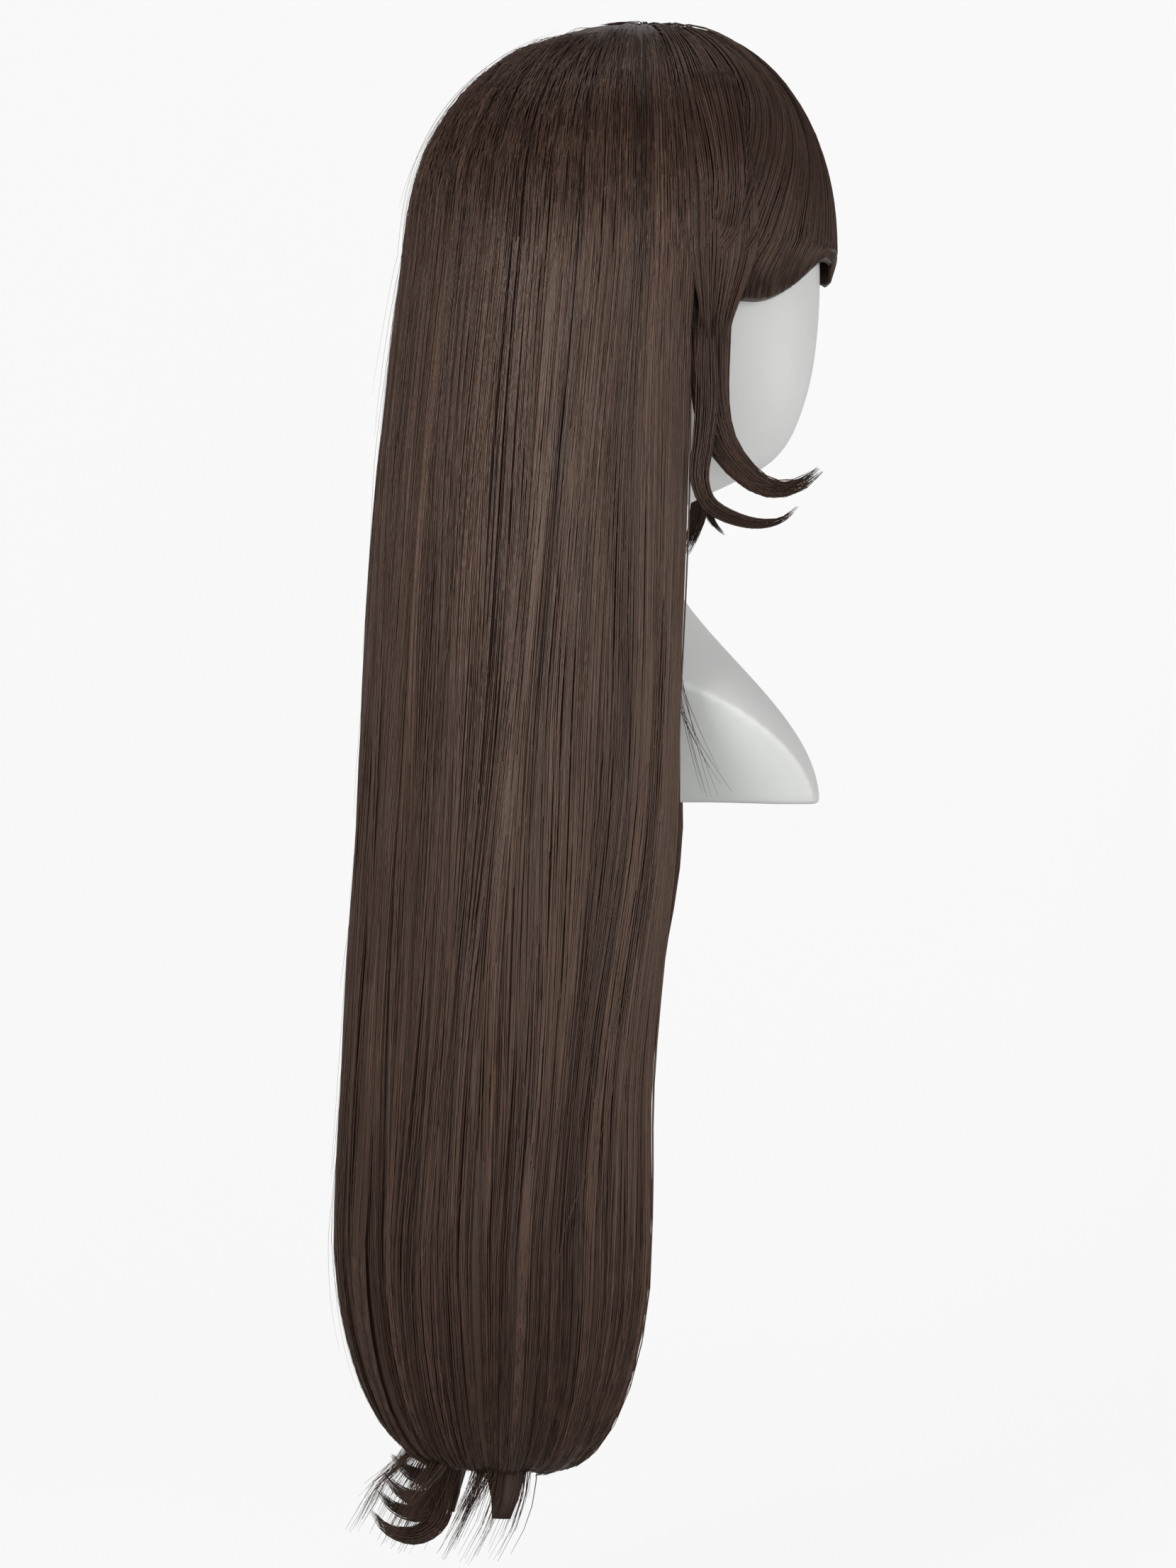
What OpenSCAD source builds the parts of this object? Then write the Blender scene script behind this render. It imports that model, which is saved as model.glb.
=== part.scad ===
// Faceless display head on a V-cut bust, wearing a machine-made wig of very long hair.
// The head faces -Y, its right side is -X, and the origin is the centre of the stand socket's mouth.

/* [Skull] */
// Width of the skull at its widest level
skull_w = 158; // [152:1:162]
// Depth of the skull from brow to back
skull_d = 206; // [200:1:212]
// Height of the dome above the widest level
dome_h = 110; // [104:1:116]
// Height of the widest level above the socket mouth
brow_z = 318; // [314:1:326]
// How far the middle of the skull lies in front of the socket
skull_f = 31; // [28:1:34]

/* [Face and neck] */
// Height of the chin above the socket mouth
chin_z = 200; // [196:1:204]
// How far the chin reaches in front of the socket
chin_f = 112; // [108:1:116]
// Width of the neck
neck_w = 100; // [94:1:106]
// Depth of the neck
neck_d = 103; // [98:1:108]
// How far the throat lies in front of the socket
throat_f = 46; // [43:1:49]
// Height of the neck's narrowest level
neck_z = 145; // [140:1:150]

/* [Bust] */
// Width of the bust before its sides are cut
bust_w = 200; // [192:1:206]
// How far the front foot reaches forward
bust_front = 100; // [96:1:104]
// How far the back foot reaches backward
bust_back = 97; // [93:1:100]
// Depth of the feet below the socket mouth
foot_drop = 58; // [54:1:62]
// Width of each foot where it stands
foot_w = 46; // [40:1:52]
// Thickness of each foot from front to back
foot_t = 26; // [23:1:29]
// Angle of the side cuts from upright
side_slant = 35; // [33:1:37]
// Height of the arch's flat ceiling above the socket mouth
arch_top = 5; // [4.5:0.5:7]
// Wall of the moulded shell
shell_wall = 3; // [2.5:0.25:3.5]

/* [Stand socket] */
// Radius of the bore that takes the stand's peg
bore_r = 13; // [12:0.5:14]
// Depth of the bore
bore_depth = 62; // [50:1:70]
// Wall of the sleeve round the bore
sleeve_wall = 3; // [2.5:0.5:3.5]
// Radius of the flange under the arch
flange_r = 24.5; // [24:0.5:26]
// Thickness of the flange
flange_t = 3; // [2.5:0.25:3.5]
// Radius of the circle that the screws stand on
screw_circle_r = 20.4; // [20:0.2:21]
// Radius of a screw's shank
screw_r = 1.5; // [1.25:0.25:1.75]
// Length of a screw under its head
screw_len = 13; // [10:1:14]

/* [Cap] */
// Gap between the skull and the cap
cap_gap = 0.9; // [0.8:0.1:1.2]
// Thickness of the cap's net and lace panels
net_t = 0.8; // [0.6:0.1:1]
// Thickness of the sewn elastic bands
band_t = 1; // [0.8:0.1:1.2]
// Height of the forehead band
front_band_h = 14; // [11:1:17]
// Depth of the back panel below the widest level
back_panel_drop = 78; // [72:1:84]
// Height of the nape band
nape_band_h = 17; // [15:1:20]
// Length of an ear tab below the side panel
ear_tab_drop = 34; // [28:1:40]
// Height of a weft's sewn track
track_h = 4; // [3:0.5:5]
// Thickness of a weft's sewn track
track_t = 2.1; // [1.8:0.1:2.3]
// Number of tracks sewn across the back panel
back_tracks = 6; // [4:1:6]
// Gap between sewn layers
layer_gap = 0.35; // [0.3:0.05:0.45]

/* [Adjusters] */
// Width of an adjuster's elastic strap
strap_w = 6; // [5:0.5:7]
// Thickness of a strap
strap_t = 0.7; // [0.5:0.1:0.8]
// Angle round the nape of the hook's inner end at rest
hook_at = 22; // [20:1:24]
// Angle that the hook spans
hook_span = 9; // [7:0.5:10]
// Angle at which a strap is sewn down
strap_end = 46; // [44:1:48]

/* [Hair over the skull] */
// Thickness of hair over the top
hair_top_t = 17; // [14:1:20]
// Thickness of hair at the sides
hair_side_t = 18; // [15:1:21]
// Thickness of hair at the back
hair_back_t = 25; // [22:1:28]
// Thickness of hair over the forehead
hair_front_t = 5; // [4:0.5:7]

/* [Long hair] */
// Depth below the socket mouth where the outer ends start to turn in
curl_start = 240; // [230:5:255]
// Height of the turned-in ends
curl_h = 122; // [110:1:130]
// How far the ends turn in, as a share of the way to the middle
curl_in = 0.6; // [0.54:0.02:0.64]
// Extra length of the tail that the under layer makes
tail_extra = 60; // [50:1:70]
// How far the tail is drawn in, as a share of the way to the middle
tail_in = 0.58; // [0.56:0.01:0.64]
// How far the tail's ends sweep back
tail_sweep = 16; // [8:1:22]
// How far the hair drifts back from the bust to where it turns in
back_drift = 14; // [8:1:18]
// Gap between the bust and the hair that hangs round it
drape_gap = 5; // [4:0.5:8]
// Depth of the grooves between strands of hair
groove = 1.1; // [0.6:0.1:1.4]

/* [Fringe and side locks] */
// Height of the fringe's ends over the temples
fringe_z = 281; // [277:1:287]
// Rise of the fringe's ends over the middle of the brow
fringe_rise = 29; // [22:1:32]
// Angle that the fringe sweeps from the middle to the temples
fringe_sweep = 13; // [8:1:15]
// Width of the upper side lock
lock_w = 26; // [22:1:28]
// Thickness of the upper side lock
lock_t = 9; // [7:0.5:10]

/* [Hidden] */

SKIN = [0.90, 0.92, 0.91];
NET = [0.16, 0.12, 0.10];
ELASTIC = [0.10, 0.08, 0.07];
HAIR = [0.24, 0.17, 0.14];
HAIR_DARK = [0.19, 0.13, 0.11];
STEEL = [0.72, 0.73, 0.75];
SOCKET = [0.82, 0.82, 0.80];

RIGHT = 1;
LEFT = -1;

skull_a = skull_w / 2;
skull_b = skull_d / 2;
brow_f = skull_f + skull_b;
skull_back = skull_b - skull_f;
neck_back = neck_d - throat_f;
foot_z = -foot_drop;
crown_z = brow_z + dome_h;

function lerp(a, b, t) = a + (b - a) * t;
function clamp01(t) = min(1, max(0, t));
function ease(t) = let (c = clamp01(t)) c * c * (3 - 2 * c);
function steps(a, b, n) = [for (i = [0 : n]) a + (b - a) * i / n];

// ---- solids made from grids of points ----

// A closed wall between two grids of points, [row][column]. Columns run anticlockwise seen from
// the end where rows start, and the inner grid has as many points as the outer one.
module wall_between(outer, inner) {
    rows = len(outer);
    cols = len(outer[0]);
    n = rows * cols;
    points = concat([for (r = outer) for (p = r) p], [for (r = inner) for (p = r) p]);
    function at(r, c) = r * cols + c;
    sides = [for (r = [0 : rows - 2]) for (c = [0 : cols - 2]) each let (
            a = at(r, c), b = at(r, c + 1), d = at(r + 1, c), e = at(r + 1, c + 1))
        [[a, b, d], [b, e, d], [a + n, d + n, b + n], [b + n, d + n, e + n]]];
    ends = [for (c = [0 : cols - 2]) each let (
            a = at(0, c), b = at(0, c + 1), d = at(rows - 1, c), e = at(rows - 1, c + 1))
        [[a, a + n, b], [b, a + n, b + n], [d, e, d + n], [e, e + n, d + n]]];
    edges = [for (r = [0 : rows - 2]) each let (
            a = at(r, 0), b = at(r + 1, 0), d = at(r, cols - 1), e = at(r + 1, cols - 1))
        [[a, b, a + n], [b, b + n, a + n], [d, d + n, e], [e, d + n, e + n]]];
    polyhedron(points, concat(sides, ends, edges), convexity = 8);
}

// A closed ring-shaped wall between two grids whose columns go all the way round.
module ring_wall(outer, inner) {
    rows = len(outer);
    cols = len(outer[0]);
    n = rows * cols;
    points = concat([for (r = outer) for (p = r) p], [for (r = inner) for (p = r) p]);
    function at(r, c) = r * cols + c % cols;
    sides = [for (r = [0 : rows - 2]) for (c = [0 : cols - 1]) each let (
            a = at(r, c), b = at(r, c + 1), d = at(r + 1, c), e = at(r + 1, c + 1))
        [[a, b, d], [b, e, d], [a + n, d + n, b + n], [b + n, d + n, e + n]]];
    ends = [for (c = [0 : cols - 1]) each let (
            a = at(0, c), b = at(0, c + 1), d = at(rows - 1, c), e = at(rows - 1, c + 1))
        [[a, a + n, b], [b, a + n, b + n], [d, e, d + n], [e, e + n, d + n]]];
    polyhedron(points, concat(sides, ends), convexity = 8);
}

// A closed body through rings of points, with a point at the middle of each end. The points of a
// ring run anticlockwise seen from the end where rings stop.
module loft(rings) {
    rows = len(rings);
    cols = len(rings[0]);
    function middle(r) = [for (k = [0 : 2]) let (s = [for (p = r) p[k]]) s * [for (v = s) 1] / cols];
    points = concat([for (r = rings) for (p = r) p], [middle(rings[0]), middle(rings[rows - 1])]);
    low = rows * cols;
    high = low + 1;
    function at(r, c) = r * cols + c % cols;
    sides = [for (r = [0 : rows - 2]) for (c = [0 : cols - 1]) each let (
            a = at(r, c), b = at(r, c + 1), d = at(r + 1, c), e = at(r + 1, c + 1))
        [[a, d, b], [b, d, e]]];
    ends = [for (c = [0 : cols - 1]) each
        [[low, at(0, c), at(0, c + 1)], [high, at(rows - 1, c + 1), at(rows - 1, c)]]];
    polyhedron(points, concat(sides, ends), convexity = 8);
}

// A smooth curve through the rows of a table: column c at the value x of column 0.
function span_of(table, x, i = 0) =
    i >= len(table) - 2 || x <= table[i + 1][0] ? i : span_of(table, x, i + 1);
function slope(table, i, c) = let (a = table[max(0, i - 1)], b = table[min(len(table) - 1, i + 1)])
    (b[c] - a[c]) / (b[0] - a[0]);
function curve(table, x, c) = let (
        i = span_of(table, x), p = table[i], q = table[i + 1], h = q[0] - p[0], t = (x - p[0]) / h,
        t2 = t * t, t3 = t2 * t)
    (2 * t3 - 3 * t2 + 1) * p[c] + (t3 - 2 * t2 + t) * h * slope(table, i, c)
    + (3 * t2 - 2 * t3) * q[c] + (t3 - t2) * h * slope(table, i + 1, c);

// ---- head, neck and bust ----

// How far the bust has flared at height z, from 0 at the neck to 1 at the feet.
flare_power = 1.6;
function flare(z) = pow(sin(90 * clamp01((neck_z - z) / (neck_z + foot_drop))), flare_power);

// Rows of the face: height, then how far the front, the back and the half width have gone from the
// neck to the chin (front) or the skull, and how much the face narrows towards its front.
face_rows = [
    [neck_z, throat_f, 0, 0, 0],
    [chin_z - 38, lerp(throat_f, chin_f, 0.03), 0.05, 0.04, 0],
    [chin_z - 26, lerp(throat_f, chin_f, 0.17), 0.13, 0.13, 0.05],
    [chin_z - 14, lerp(throat_f, chin_f, 0.54), 0.24, 0.24, 0.15],
    [chin_z - 4, lerp(throat_f, chin_f, 0.85), 0.37, 0.33, 0.23],
    [chin_z + 7, lerp(chin_f, brow_f, 0.08), 0.51, 0.43, 0.27],
    [chin_z + 22, lerp(chin_f, brow_f, 0.44), 0.67, 0.57, 0.24],
    [chin_z + 46, lerp(chin_f, brow_f, 0.77), 0.86, 0.76, 0.17],
    [chin_z + 72, lerp(chin_f, brow_f, 0.94), 0.96, 0.89, 0.10],
    [chin_z + 95, brow_f, 1, 0.97, 0.04],
    [brow_z, brow_f, 1, 1, 0]];

// Front reach, back reach, half width and narrowing of the uncut form at height z.
function form_at(z) =
    z <= neck_z ? let (g = flare(z))
        [lerp(throat_f, bust_front, g), lerp(neck_back, bust_back, g), lerp(neck_w, bust_w, g) / 2, 0] :
    z <= brow_z ? [curve(face_rows, z, 1), lerp(neck_back, skull_back, curve(face_rows, z, 2)),
        lerp(neck_w, skull_w, curve(face_rows, z, 3)) / 2, curve(face_rows, z, 4)] :
    let (k = sqrt(max(0, 1 - pow((z - brow_z) / dome_h, 2))))
        [skull_f + skull_b * k, skull_b * k - skull_f, skull_a * k, 0];

// One level ring of the form, inset by the wall. Angle 0 is the back and 90 is the right side.
function form_ring(z, inset, n) = let (
        s = form_at(z), mid = (s[0] - s[1]) / 2, half = (s[0] + s[1]) / 2 - inset, wide = s[2] - inset)
    [for (i = [0 : n - 1]) let (a = 360 * i / n, front = pow((1 - cos(a)) / 2, 2))
        [-wide * sin(a) * (1 - s[3] * front), half * cos(a) - mid, z]];

foot_edge = 3;
bust_levels = [foot_z + foot_edge, -40, -20, 0, 22, 44, 66, 90, 118];
face_levels = [neck_z, chin_z - 42, chin_z - 32, chin_z - 24, chin_z - 16, chin_z - 8, chin_z,
    chin_z + 8, chin_z + 20, chin_z + 40, chin_z + 64, chin_z + 90];
dome_turns = [0, 14, 28, 42, 56, 70, 82];
cavity_turns = [0, 16, 32, 48, 64, 80];
ring_points = 36;
cavity_points = 18;

module outer_form() {
    levels = concat(bust_levels, face_levels, [for (t = dome_turns) brow_z + dome_h * sin(t)]);
    loft(concat([form_ring(foot_z, foot_edge, ring_points)],
        [for (z = levels) form_ring(z, 0, ring_points)]));
}

module cavity_form() {
    low = foot_z + shell_wall;
    levels = concat([low, -30, 0, 30, 60, 95], [for (i = [0 : 2 : len(face_levels) - 1]) face_levels[i]],
        [for (t = cavity_turns) brow_z + (dome_h - shell_wall) * sin(t)]);
    loft([for (z = levels) form_ring(z, shell_wall, cavity_points)]);
}

// Everything under the arch that runs through the bust from side to side: an ellipse that meets
// the feet's inner faces and clears the flange, cut off flat where the flange seats.
arch_centre_z = foot_z - 12;
arch_mid_f = (bust_front - bust_back) / 2;
arch_flat = flange_r + abs(arch_mid_f) + 1;
arch_foot = (bust_front + bust_back) / 2 - foot_t;
arch_low = foot_z - arch_centre_z;
arch_high = arch_top - arch_centre_z;
arch_cross = pow(arch_foot * arch_high, 2) - pow(arch_flat * arch_low, 2);
arch_half = sqrt(arch_cross / (pow(arch_high, 2) - pow(arch_low, 2)));
arch_rise = sqrt(arch_cross / (pow(arch_foot, 2) - pow(arch_flat, 2)));
module arch_cut(grow) {
    top_turn = asin((arch_high + grow) / (arch_rise + grow));
    outline = [for (a = concat(steps(0, top_turn, 12), steps(180 - top_turn, 180, 12)))
        [-arch_mid_f + (arch_half + grow) * cos(a), arch_centre_z + (arch_rise + grow) * sin(a)]];
    rotate([90, 0, 90]) linear_extrude(height = 2 * bust_w, center = true) polygon(outline);
}

// Everything outside the slanting plane that trims one side of the bust.
module side_cut(side, grow) {
    reach = 300;
    above = 130;
    translate([-side * (foot_w / 2 - grow / cos(side_slant)), 0, foot_z])
        rotate([0, -side * side_slant, 0])
            translate([side == RIGHT ? -reach : 0, -reach / 2, -reach / 2])
                cube([reach, reach, reach / 2 + above]);
}

sleeve_r = bore_r + sleeve_wall;
sleeve_gap = 0.3;
round_facets = 64;
small_facets = 32;
over = 1;
boss_r = 4.4;
boss_h = screw_len - flange_t + 1.5;
screw_gap = 0.15;
screw_turns = [45, 135, 225, 315];
module at_screws() {
    for (a = screw_turns) rotate([0, 0, a]) translate([screw_circle_r, 0, 0]) children();
}

module moulded_shell() {
    difference() {
        union() {
            difference() {
                outer_form();
                arch_cut(0);
                side_cut(RIGHT, 0);
                side_cut(LEFT, 0);
                difference() {
                    cavity_form();
                    arch_cut(shell_wall);
                    side_cut(RIGHT, shell_wall);
                    side_cut(LEFT, shell_wall);
                }
            }
            at_screws() translate([0, 0, arch_top + shell_wall / 2])
                cylinder(r = boss_r, h = boss_h, $fn = small_facets);
        }
        translate([0, 0, arch_top - over])
            cylinder(r = sleeve_r + sleeve_gap, h = shell_wall + 2 * over, $fn = round_facets);
        at_screws() translate([0, 0, arch_top - over])
            cylinder(r = screw_r + screw_gap, h = boss_h, $fn = small_facets);
    }
}

// The shell is moulded in one. It is drawn as the head, and as two feet that start just under the
// level of the arch's ceiling.
foot_joint = 1;
module below_arch(facing) {
    translate([0, facing * bust_w / 2, arch_top - foot_joint - bust_w / 2]) cube(bust_w, center = true);
}

module head_shell() {
    color(SKIN) difference() {
        moulded_shell();
        below_arch(-1);
        below_arch(1);
    }
}

module bust_foot(facing) {
    color(SKIN) intersection() {
        moulded_shell();
        below_arch(facing);
    }
}

module socket_sleeve() {
    color(SOCKET) difference() {
        union() {
            cylinder(r = sleeve_r, h = bore_depth + sleeve_wall, $fn = round_facets);
            translate([0, 0, arch_top - flange_t]) cylinder(r = flange_r, h = flange_t, $fn = round_facets);
        }
        translate([0, 0, -over]) cylinder(r = bore_r, h = bore_depth + over, $fn = round_facets);
        at_screws() translate([0, 0, arch_top - flange_t - over])
            cylinder(r = screw_r + screw_gap, h = flange_t + 2 * over, $fn = small_facets);
    }
}

screw_head_r = 2 * screw_r;
screw_head_h = 1.8;
cross_w = 0.7;
cross_deep = 0.7;
module socket_screws() {
    color(STEEL) at_screws() translate([0, 0, arch_top - flange_t]) {
        cylinder(r = screw_r, h = screw_len, $fn = small_facets);
        difference() {
            translate([0, 0, -screw_head_h])
                cylinder(r1 = screw_head_r * 0.8, r2 = screw_head_r, h = screw_head_h, $fn = small_facets);
            for (turn = [0, 90]) rotate([0, 0, turn])
                translate([-screw_head_r, -cross_w / 2, -screw_head_h - over])
                    cube([2 * screw_head_r, cross_w, cross_deep + over]);
        }
    }
}

// ---- places on the skull ----

// The skull's surface moved out by d: turn goes round from the back over the right side, and polar
// goes down from the crown to 90 at the widest level.
function on_dome(turn, polar, d) =
    [-(skull_a + d) * sin(polar) * sin(turn),
        (skull_b + d) * sin(polar) * cos(turn) - skull_f,
        brow_z + (dome_h + d) * cos(polar)];

// The same wall below the widest level, where it hangs straight down.
function on_wall(turn, z, d) =
    [-(skull_a + d) * sin(turn), (skull_b + d) * cos(turn) - skull_f, z];

// A place by drop: negative drops are degrees above the widest level, positive ones millimetres below.
function on_head(turn, drop, d) = drop < 0 ? on_dome(turn, 90 + drop, d) : on_wall(turn, brow_z - drop, d);

// ---- wig cap ----

turn_step = 7.5;
ring_step = 10;
all_round = [for (a = [0 : ring_step : 360 - ring_step]) a];
function round_to_step(v) = max(1, round(v / turn_step));
function turns(a, b) = steps(a, b, round_to_step(abs(b - a)));

// A patch of cloth on the head, with one row of points for each drop.
module patch(turn_a, turn_b, drops, d, t) {
    function grid(off) = [for (drop = drops) [for (a = turns(turn_a, turn_b)) on_head(a, drop, off)]];
    wall_between(grid(d + t), grid(d));
}

net_d = cap_gap;
track_d = net_d + max(net_t, band_t) + layer_gap;
patch_polar = 13;
crown_polar = 57;
seam = 0.4;
side_turn = 60;
front_turn = 118;
side_panel_drop = 16;

module parting_patch() {
    function ring(polar, off) = [for (a = steps(0, 337.5, 15)) on_dome(a, polar, off)];
    color(NET) loft(concat(
        [for (polar = [2, 7, patch_polar]) ring(polar, net_d)],
        [for (polar = [patch_polar, 7, 2]) ring(polar, net_d + net_t)]));
}

module cap_crown_net() {
    polars = [patch_polar + seam, 24, 35, 46, crown_polar - seam];
    function grid(off) = [for (polar = polars) [for (a = all_round) on_dome(a, polar, off)]];
    color(NET) ring_wall(grid(net_d + net_t), grid(net_d));
}

front_low = crown_polar - 90 + front_band_h * 0.6;
module cap_front_band() {
    color(ELASTIC) patch(front_turn - seam, 360 - front_turn + seam,
        [crown_polar - 90 + seam, front_low], net_d, band_t);
}

side_drops = [crown_polar - 90 + seam, -26, -18, -9, 0, side_panel_drop];
module cap_side_panel(side) {
    color(NET) patch(side == RIGHT ? side_turn + seam : -front_turn + seam,
        side == RIGHT ? front_turn - seam : -side_turn - seam, side_drops, net_d, net_t);
}

module cap_back_panel() {
    color(NET) patch(-side_turn + seam, side_turn - seam,
        [crown_polar - 90 + seam, -26, -18, -9, 0, back_panel_drop - seam], net_d, net_t);
}

nape_turn = 52.5;
nape_top = back_panel_drop + seam;
nape_low = nape_top + nape_band_h;
module nape_band() {
    color(ELASTIC) patch(-nape_turn, nape_turn, [nape_top, nape_low], net_d, band_t);
}

ear_turn_a = 82.5;
ear_turn_b = 112.5;
ear_tab_round = 0.93;
module ear_tab(side) {
    top = side_panel_drop + seam;
    mid = (ear_turn_a + ear_turn_b) / 2;
    rows = [for (t = [0, 0.35, 0.7, 0.9, 1])
        let (half = sqrt(1 - pow(ear_tab_round * t, 2)) * (ear_turn_b - ear_turn_a) / 2)
        [top + t * ear_tab_drop, side * mid - half, side * mid + half]];
    function row(r, off) = [for (a = steps(r[1], r[2], 4)) on_head(a, r[0], off)];
    color(ELASTIC) wall_between([for (r = rows) row(r, net_d + band_t)], [for (r = rows) row(r, net_d)]);
}

// Hair is folded over a sewn track, so a track is wider at its middle.
module track(turn_a, turn_b, drop) {
    deg = drop < 0 ? 180 * track_h / (PI * dome_h) : track_h;
    low = drop < 0 ? min(drop + deg, 0) : drop + deg;
    patch(turn_a, turn_b, [drop, low], track_d, track_t);
}

module ring_track(polar) {
    deg = 180 * track_h / (PI * dome_h);
    function grid(off) = [for (p = [polar, polar + deg]) [for (a = all_round) on_dome(a, p, off)]];
    ring_wall(grid(track_d + track_t), grid(track_d));
}

module crown_wefts() {
    color(HAIR_DARK) for (polar = [20, 32, 44]) ring_track(polar);
}

module back_wefts() {
    color(HAIR_DARK) for (i = [0 : back_tracks - 1])
        track(-52.5, 52.5, lerp(-20, back_panel_drop - track_h - 2, i / (back_tracks - 1)));
}

module side_wefts(side) {
    color(HAIR_DARK) for (drop = [-22, -12, side_panel_drop - track_h - 2])
        track(side == RIGHT ? 67.5 : -112.5, side == RIGHT ? 112.5 : -67.5, drop);
}

// ---- adjusters at the nape: a strap pulls a hook along an arc, under sewn loops ----

// The back of the skull is close to a circle of this radius, about an upright axis.
nape_reach = 45;
nape_rise = skull_b * (1 - sqrt(1 - pow(nape_reach / skull_a, 2)));
nape_r = (nape_reach * nape_reach + nape_rise * nape_rise) / (2 * nape_rise);
nape_y = skull_back - nape_r;
band_out = net_d + band_t;
arc_gap = 0.35;
hook_t = 1;
hook_r = nape_r + band_out + arc_gap;
strap_z = brow_z - (nape_top + nape_low) / 2;

// An upright arc of strip about the nape's axis, from angle a to b round from the back.
module nape_arc(side, a, b, r, t, h) {
    low = side == RIGHT ? a : -b;
    translate([0, nape_y, strap_z - h / 2]) rotate([0, 0, 90 + low])
        rotate_extrude(angle = b - a, $fn = 360) translate([r, 0]) square([t, h]);
}

module adjuster_strap(side) {
    color(ELASTIC) {
        nape_arc(side, hook_at + hook_span + 0.4, strap_end, hook_r, strap_t, strap_w);
        nape_arc(side, strap_end - 3, strap_end, hook_r - arc_gap + 0.05, arc_gap + 0.1, strap_w);
    }
}

// The hook is a flat plate with a turned-in tip and a slot for the strap.
module adjuster_hook(side) {
    color(STEEL) difference() {
        nape_arc(side, hook_at, hook_at + hook_span, hook_r, hook_t, strap_w + 1);
        nape_arc(side, hook_at + 2, hook_at + 4.5, hook_r - 1, hook_t + 2, strap_w - 1.6);
    }
}

loop_turns = [4, 10, 16];
loop_half = strap_w / 2 + 1.1;
module adjuster_loops() {
    over_r = hook_r + hook_t + arc_gap;
    foot_r = nape_r + band_out + 0.15;
    color(ELASTIC) for (side = [RIGHT, LEFT]) for (a = loop_turns) difference() {
        nape_arc(side, a, a + 1.6, foot_r, over_r + 0.6 - foot_r, 2 * loop_half + 2.4);
        nape_arc(side, a - 1, a + 2.6, foot_r - 1, over_r + 1 - foot_r, 2 * loop_half);
    }
}

// ---- hair ----
// A strand is named by its turn round the crown. It is followed over the dome and then down the
// hanging wall of hair, and depth goes from 0 at the inner face of the hair to 1 at its outer face.

// Facets dip below the true curve, so the hair lies this much further out than sewn layers do.
facet_gap = 0.4;
hair_d = track_d + track_t + layer_gap + facet_gap;
fullness = 0.909;
edge_turn = 104;
round_edge = 26;
// Thickness left at the front edge, and how much the hair swells where it leaves the skull.
thin_edge = 0.3;
swell = 1.16;

// Thickness of the hair over the skull in the direction of turn.
function skull_hair_t(turn) = let (c = cos(turn))
    c > 0 ? sqrt(pow(hair_back_t * c, 2) + pow(hair_side_t * sin(turn), 2))
        : sqrt(pow(hair_front_t * c, 2) + pow(hair_side_t * sin(turn), 2));

function over_skull(turn, polar, depth) = let (
        e = lerp(1, fullness, depth), d = hair_d + depth * skull_hair_t(turn),
        up = hair_d + depth * hair_top_t,
        s = pow(sin(polar), e), c = pow(max(0, cos(polar)), e))
    [-(skull_a + d) * s * sin(turn), (skull_b + d) * s * cos(turn) - skull_f, brow_z + (dome_h + up) * c];

// The widest that the bust gets, where the side cuts meet its flare.
function cut_half(z) = foot_w / 2 + (z - foot_z) * tan(side_slant);
bust_half = max([for (z = [foot_z : 4 : neck_z]) min(form_at(z)[2], cut_half(z))]);
drape_half = max(skull_a + hair_d, bust_half + drape_gap);
drape_back = max(skull_back + hair_d, bust_back + drape_gap + 3);
ends_z = -curl_start;

// The hair's front edge runs forward a little past the neck and draws back below the bust.
edge_at_brow = skull_f - cos(edge_turn) * (skull_b + hair_d);
edge_at_bust = 52;
edge_at_ends = 34;

// Plan of the hanging hair's inner face at height z: half width, reach back, middle, front edge.
function plan_at(z) = let (
        down = ease((brow_z - z) / (brow_z - 60)), low = clamp01((brow_z - z) / (brow_z - foot_z)),
        past = clamp01((foot_z - z) / (foot_z - ends_z)),
        back = lerp(skull_back + hair_d, drape_back, pow(low, 0.7)))
    [lerp(skull_a + hair_d, drape_half, down), back + back_drift * past,
        lerp(skull_f, -10, clamp01((brow_z - z) / (brow_z - ends_z))),
        lerp(lerp(edge_at_brow, edge_at_bust, down), edge_at_ends, ease(past * 1.35))];

// Thinning of the hair towards its front edges.
function edge_thin(turn) = let (u = clamp01((abs(turn) - edge_turn + round_edge) / round_edge))
    lerp(1, thin_edge, u * u);

function hanging(turn, z, depth) = let (
        p = plan_at(z), fall = brow_z - z, c = cos(turn), front = p[3] - p[2],
        thinned = lerp(1, edge_thin(turn), ease(fall / 70)), swelled = lerp(1, swell, clamp01(fall / 120)),
        t = depth * skull_hair_t(turn) * thinned * swelled)
    [-(p[0] + t) * sin(turn),
        c > 0 ? (p[1] + p[2] + t) * c - p[2] : c / cos(edge_turn) * -(front + thin_edge * t) - p[2],
        z];

// Each side's hair draws in towards a place beside the stand's post.
aim_x = 34;
aim_f = -48;
function drawn_in(turn, z, depth, share) = let (
        p = hanging(turn, max(z, ends_z), depth), side = sin(turn) < 0 ? -1 : 1)
    [lerp(p[0], -side * aim_x * min(1, abs(sin(turn)) * 3), share), lerp(p[1], -aim_f, share), z];

// The outer ends turn in along a quarter of an ellipse.
function turned_in(turn, drop, angle, depth) =
    drawn_in(turn, ends_z - (drop + 6 * depth) * sin(angle), depth, curl_in * (1 - cos(angle)));

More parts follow.
